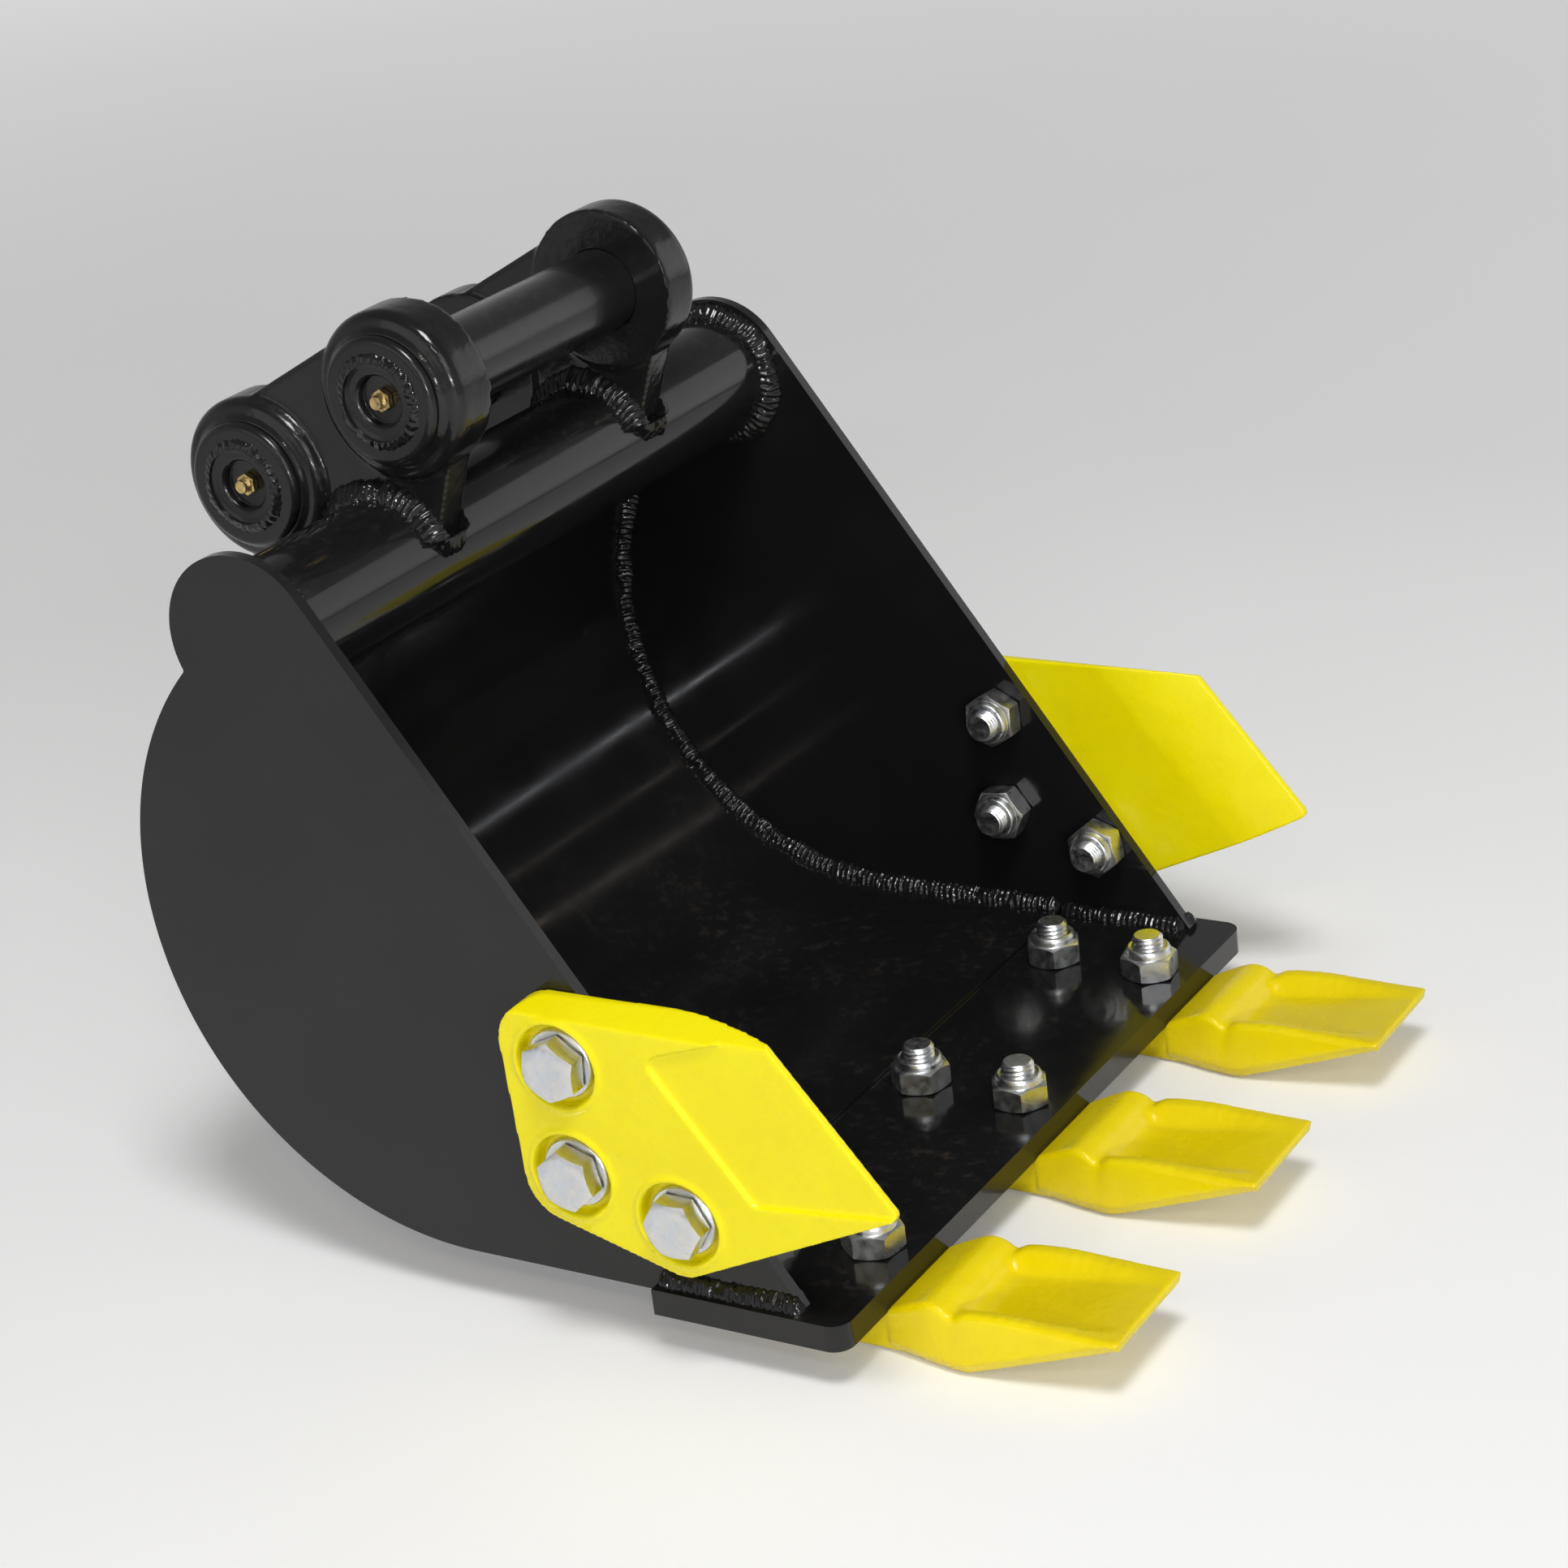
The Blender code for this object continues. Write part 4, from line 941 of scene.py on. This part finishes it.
def tooth_rows():
    """Stations from the cutting edge to the tip: y, half width at the top and at the bottom,
    top of the side ridges, depth of the valley between them, and the underside."""
    under = TOOTH_LOW.z
    tip = TOOTH_LOW.y
    rows = [(-GAP, 0.0255, 0.0262, -0.0095, 0.0, under),
            (-0.010, 0.0266, 0.0278, -0.0050, 0.0, under),
            (-0.018, 0.0275, 0.0295, -0.0020, 0.0, under),
            (-0.024, 0.0280, 0.0305, -0.0028, 0.0, under),
            (-0.029, 0.0282, 0.0312, -0.0055, 0.0010, under),
            (-0.035, 0.0288, 0.0316, -0.0032, 0.0070, under + 0.0003),
            (-0.050, 0.0290, 0.0312, -0.0018, 0.0072, under + 0.0054),
            (-0.066, 0.0290, 0.0305, -0.0020, 0.0050, under + 0.0109),
            (-0.082, 0.0288, 0.0296, -0.0024, 0.0022, under + 0.0163),
            (tip, 0.0285, 0.0285, -0.0025, 0.0002, under + 0.0215)]
    return rows


def smooth_rows(rows, steps):
    """Rows between the given ones, on a Catmull-Rom curve through them."""
    result = []
    for i in range(len(rows) - 1):
        p0, p1 = rows[max(i - 1, 0)], rows[i]
        p2, p3 = rows[i + 1], rows[min(i + 2, len(rows) - 1)]
        for k in range(steps):
            t = k / steps
            result.append(tuple(
                0.5 * (2 * b + (c - a) * t + (2 * a - 5 * b + 4 * c - d) * t ** 2
                       + (3 * b - a - 3 * c + d) * t ** 3)
                for a, b, c, d in zip(p0, p1, p2, p3)))
    return result + [rows[-1]]


def ripple(y):
    """Height of the casting's uneven ripples along a tooth's ridges."""
    along = min(1.0, max(0.0, (-0.036 - y) / 0.010)) * min(1.0, max(0.0, (y + 0.088) / 0.010))
    uneven = noise.noise(Vector((y / 0.006, 3.7, 0.0)))
    return 0.00013 * along * (math.sin(math.tau * y / 0.0056) + 1.2 * uneven)


def tooth_section(top, low, ridge, dip, under, wave):
    """Half a cross-section, from the middle of the top to the middle of the bottom."""
    corner = min(0.0016, (ridge - under) * 0.3)
    points = []
    for k in range(13):
        t = k / 12
        share = min(1.0, max(0.0, (t - 0.55) / 0.33))
        share = share * share * (3 - 2 * share)
        points.append((top * 0.94 * t, ridge - dip * (1 - share) + wave * share))
    points += [(top, ridge - corner), (low, under + 3 * corner), (low - 2 * corner, under),
               (0.0, under)]
    return points


def tooth_body():
    work = bmesh.new()
    loops = []
    for y, top, low, ridge, dip, under in smooth_rows(tooth_rows(), 10):
        under = max(under, TOOTH_LOW.z)
        half = tooth_section(top, low, ridge, dip, under, ripple(y))
        loop = half + [(-x, z) for x, z in reversed(half[1:-1])]
        loops.append([work.verts.new((x, y, z)) for x, z in loop])
    for first, second in zip(loops, loops[1:]):
        for i in range(len(first)):
            k = (i + 1) % len(first)
            work.faces.new((first[i], second[i], second[k], first[k]))
    work.faces.new(loops[0])
    work.faces.new(reversed(loops[-1]))
    return finished(work, "tooth_body")


def strap_solid():
    half = STRAP_WIDTH / 2
    end = TOOTH_HIGH.y
    outline = rounded([(-half, -0.004), (half, -0.004), (half, end), (-half, end)],
                      (0.0, 0.0, 0.012, 0.012))
    height = STRAP_TOP - TOOTH_LOW.z - 0.0006
    solid = shifted(slab("strap", outline, height), z=STRAP_TOP - height / 2)
    thin = STRAP_TOP - STRAP_THICK
    below = TOOTH_LOW.z - SPARE
    begins, ends = STRAP_STEP
    step = [(begins, below), (ends, thin), (end + SPARE, thin), (end + SPARE, below)]
    return combined("strap", solid, [("DIFFERENCE", along_x(slab("step", step, 0.1)))])


def make_teeth():
    """Cast teeth: body and strap melted together, then drilled for the sunk bolts."""
    tools = []
    for end in TOOTH_ENDS:
        bolt = "tooth_middle_" + end + "_bolt"
        low, high = span(bolt)
        cone = (high.x - low.x) / 2 + 0.0004
        shank = THREAD_RADIUS + HOLE_CLEARANCE
        profile = [(0, SPARE), (shank, SPARE), (shank, low.z + 0.0061), (cone, low.z + 0.0006),
                   (cone, low.z - SPARE), (0, low.z - SPARE)]
        tools.append(("DIFFERENCE", shifted(turned("hole", profile, 64), y=middle(bolt)[1])))
    solid = cast("tooth", [tooth_body(), strap_solid()], 0.0009, 4)
    mesh = combined("tooth", solid, tools)
    for tooth in TEETH:
        matrix = Matrix.Translation(ZERO + Vector((middle("tooth_" + tooth)[0], 0, 0)))
        piece("cast_tooth_" + tooth, mesh.copy(), "yellow_paint", nodes=["tooth_" + tooth],
              matrix=matrix, sharp=50.0, finish=TOOTH_FINISH)


# ---------------------------------------------------------------- side cutters

CUTTER_REAR_TOP = (0.133, 0.119)
CUTTER_FRONT_TOP = (0.018, 0.121)
CUTTER_TIP = (-0.034, 0.056)
CUTTER_HEEL = (0.061, 0.013)
CUTTER_REAR_LOW = (0.129, 0.032)
CUTTER_POCKET = 0.002        # depth of the pocket in the outer face
CUTTER_EDGE = 0.003          # thickness along the front
CUTTER_RUN = 0.040           # how far back from its front the blade thins, on a smooth curve


def cutter_tools():
    """Cuts of the right-hand cutter: pocket, thin blade, sloped top, bolt holes and seats."""
    inner, outer = CUTTER_LOW.x, CUTTER_HIGH.x
    reach = 2 * (CUTTER_REAR_TOP[0] - CUTTER_TIP[0])
    ahead = CUTTER_TIP[0] - SPARE
    pocket = rounded([(0.069, 0.104), CUTTER_FRONT_TOP, (ahead, CUTTER_FRONT_TOP[1]),
                      (ahead, CUTTER_TIP[1]), CUTTER_TIP, (0.027, 0.050)],
                     (0.005, 0.0, 0.0, 0.0, 0.0, 0.005))
    tools = [along_x(slab("pocket", pocket, 2 * CUTTER_POCKET), outer)]
    edge = outer - CUTTER_POCKET - CUTTER_EDGE
    front = Vector(CUTTER_FRONT_TOP)
    slope = (front - Vector(CUTTER_TIP)).normalized()
    normal = Vector((slope.y, -slope.x))
    inboard = inner - SPARE
    curve = [(CUTTER_RUN * (1 - k / 12), inner - GAP + (edge - inner + GAP) * (k / 12) ** 2)
             for k in range(13)]
    blade = slab("blade", [(-SPARE, inboard), (CUTTER_RUN, inboard)] + curve + [(-SPARE, edge)],
                 reach)
    for vertex in blade.vertices:
        inward, x, along = vertex.co
        place = front + normal * inward - slope * along
        vertex.co = (x, place.x, place.y)
    tools.append(blade)
    top = CUTTER_FRONT_TOP[1]
    low = top - 0.006
    bevel = slab("bevel", [(inner, top + SPARE), (inner, top), (outer, low), (outer + SPARE, low),
                           (outer + SPARE, top + SPARE)], reach)
    for vertex in bevel.vertices:
        x, z, along = vertex.co
        vertex.co = (x, CUTTER_REAR_TOP[0] - along, z)
    tools.append(bevel)
    for place in CUTTER_BOLTS:
        hole = rod(THREAD_RADIUS + HOLE_CLEARANCE, -0.02, 0.02)
        tools.append(along_x(hole, (inner + outer) / 2, *place))
        seat = [(0, 0.004), (BOLT_SEAT_RADIUS + 0.0012, 0.004), (BOLT_SEAT_RADIUS, -BOLT_SEAT_DEPTH),
                (0, -BOLT_SEAT_DEPTH)]
        tools.append(along_x(turned("seat", seat, 64), outer, *place))
    return [("DIFFERENCE", tool) for tool in tools]


def make_side_cutters():
    inner, outer = CUTTER_LOW.x, CUTTER_HIGH.x
    corners = [CUTTER_REAR_TOP, CUTTER_FRONT_TOP, CUTTER_TIP, CUTTER_HEEL, CUTTER_REAR_LOW]
    outline = rounded(corners, (0.018, 0.0015, 0.0025, 0.012, 0.018), 10)
    blank = along_x(slab("cutter", outline, outer - inner), (inner + outer) / 2)
    rims = []
    for place in CUTTER_BOLTS:
        rim = [(BOLT_SEAT_RADIUS + 0.0034, -0.001), (BOLT_SEAT_RADIUS + 0.0026, 0.0010),
               (BOLT_SEAT_RADIUS + 0.0010, 0.0011), (BOLT_SEAT_RADIUS + 0.0004, -0.001)]
        rims.append(along_x(turned("rim", rim, 64, closed=True), outer, *place))
    solid = combined("cutter", blank, cutter_tools())
    right = cast("cutter", [solid] + rims, 0.0008, 3)
    for side, mesh in (("right", right), ("left", mirrored(right))):
        piece("cast_side_cutter_" + side, mesh, "yellow_paint", nodes=["side_cutter_" + side],
              sharp=0)


# ---------------------------------------------------------------- stage, light and camera

EYE = Vector((-1.1248, -0.7430, 0.7161))
EYE_UP = Vector((0.0905, -0.0775, 0.9929))
AIM_DROP = 0.031             # the camera aims this far below the model's middle
LENS_MM = 82.0
LIT_PLACE = Vector((0.0, 0.0, 0.18))     # the lights are placed round it and face it


def make_floor():
    """A pale level floor under the teeth. It keeps shadows and looks a little brighter than its
    own light makes it, to the camera and in mirrors, and more so far away."""
    work = bmesh.new()
    bmesh.ops.create_grid(work, x_segments=1, y_segments=1, size=12.0)
    mesh = finished(work, "floor")
    floor = temporary("floor", mesh)
    floor.location.z = CAD_LOW.z - 0.0005
    n = Nodes("pale_floor")
    n.shader.inputs["Roughness"].default_value = 0.9
    n.shader.inputs["Specular IOR Level"].default_value = 0.1
    n.link(n.colour_mix(n.noise(0.4, 3.0), (0.80, 0.80, 0.80), (0.84, 0.84, 0.84)),
           n.shader.inputs["Base Color"])
    path = n.add("ShaderNodeLightPath")
    seen = n.add("ShaderNodeMath", operation="MAXIMUM")
    n.link(path.outputs["Is Camera Ray"], seen.inputs[0])
    n.link(path.outputs["Is Glossy Ray"], seen.inputs[1])
    away = n.add("ShaderNodeVectorMath", operation="LENGTH")
    n.link(n.add("ShaderNodeNewGeometry").outputs["Position"], away.inputs[0])
    far_glow = n.product(n.ramp(away.outputs["Value"], 0.0, 0.32, 0.9, 3.5),
                         path.outputs["Is Camera Ray"])
    glow = n.add("ShaderNodeMath", operation="ADD")
    n.link(n.ramp(seen.outputs["Value"], 0.0, 0.14, 0.0, 1.0), glow.inputs[0])
    n.link(far_glow, glow.inputs[1])
    n.link(glow.outputs["Value"], n.shader.inputs["Emission Strength"])
    n.shader.inputs["Emission Color"].default_value = (1.0, 1.0, 1.0, 1.0)
    mesh.materials.append(n.material)


def area_light(name, direction, distance, width, height, radiance, colour=(1.0, 1.0, 1.0)):
    """A rectangle of even radiance, off in a direction from the bucket's middle and facing it."""
    data = bpy.data.lights.new(name, "AREA")
    data.shape = "RECTANGLE"
    data.size = width
    data.size_y = height
    data.energy = radiance * math.pi * width * height
    data.color = colour
    lamp = temporary(name, data)
    lamp.location = LIT_PLACE + Vector(direction).normalized() * distance
    lamp.rotation_euler = (LIT_PLACE - lamp.location).to_track_quat("-Z", "Y").to_euler()


def make_world():
    """A studio room: pale walls, darker towards the ceiling."""
    world = bpy.data.worlds.new("studio")
    world.use_nodes = True
    tree = world.node_tree
    split = tree.nodes.new("ShaderNodeSeparateXYZ")
    fade = tree.nodes.new("ShaderNodeMapRange")
    for socket, value in (("From Min", 0.05), ("From Max", 0.65), ("To Min", 0.50), ("To Max", 0.16)):
        fade.inputs[socket].default_value = value
    tree.links.new(tree.nodes.new("ShaderNodeTexCoord").outputs["Generated"], split.inputs["Vector"])
    tree.links.new(split.outputs["Z"], fade.inputs["Value"])
    tree.links.new(fade.outputs["Result"], tree.nodes["Background"].inputs["Strength"])
    tree.nodes["Background"].inputs["Color"].default_value = (1.0, 1.0, 1.0, 1.0)
    bpy.context.scene.world = world


def make_lights():
    area_light("key", (-0.37, -0.28, 0.86), 2.2, 0.6, 0.6, 25.0)
    area_light("front_right_panel", (0.77, -0.52, 0.22), 2.5, 1.9, 1.3, 0.70)
    area_light("left_panel", (-1.0, 0.30, 0.35), 2.4, 1.6, 1.2, 0.60)
    area_light("front_left_panel", (-0.62, -0.80, 0.55), 2.8, 1.2, 0.9, 1.9)
    area_light("low_strip", (-0.73, -0.66, 0.155), 2.5, 0.6, 0.05, 150.0, (0.93, 0.95, 1.0))
    area_light("middle_strip", (-0.73, -0.55, 0.41), 2.5, 0.5, 0.03, 42.0, (1.0, 0.88, 0.75))
    area_light("high_strip", (-0.73, -0.35, 0.59), 2.5, 0.5, 0.04, 58.0, (1.0, 0.88, 0.75))


def make_camera():
    data = bpy.data.cameras.new("camera")
    data.lens = LENS_MM
    data.clip_start = 0.05
    data.clip_end = 50.0
    camera = temporary("camera", data)
    ahead = ((CAD_LOW + CAD_HIGH) / 2 - Vector((0, 0, AIM_DROP)) - EYE).normalized()
    right = ahead.cross(EYE_UP).normalized()
    up = right.cross(ahead)
    camera.matrix_world = Matrix((
        (right.x, up.x, -ahead.x, EYE.x), (right.y, up.y, -ahead.y, EYE.y),
        (right.z, up.z, -ahead.z, EYE.z), (0, 0, 0, 1)))
    bpy.context.scene.camera = camera
    bpy.context.scene.view_settings.view_transform = "Standard"


make_side_plates()
make_wrapper()
make_top_tube()
make_cutting_edge()
make_shell_beads()
make_cross_beads()
make_ears()
make_ear_beads()
make_pins()
make_cutter_fasteners()
make_tooth_fasteners()
make_teeth()
make_side_cutters()
make_floor()
make_world()
make_lights()
make_camera()
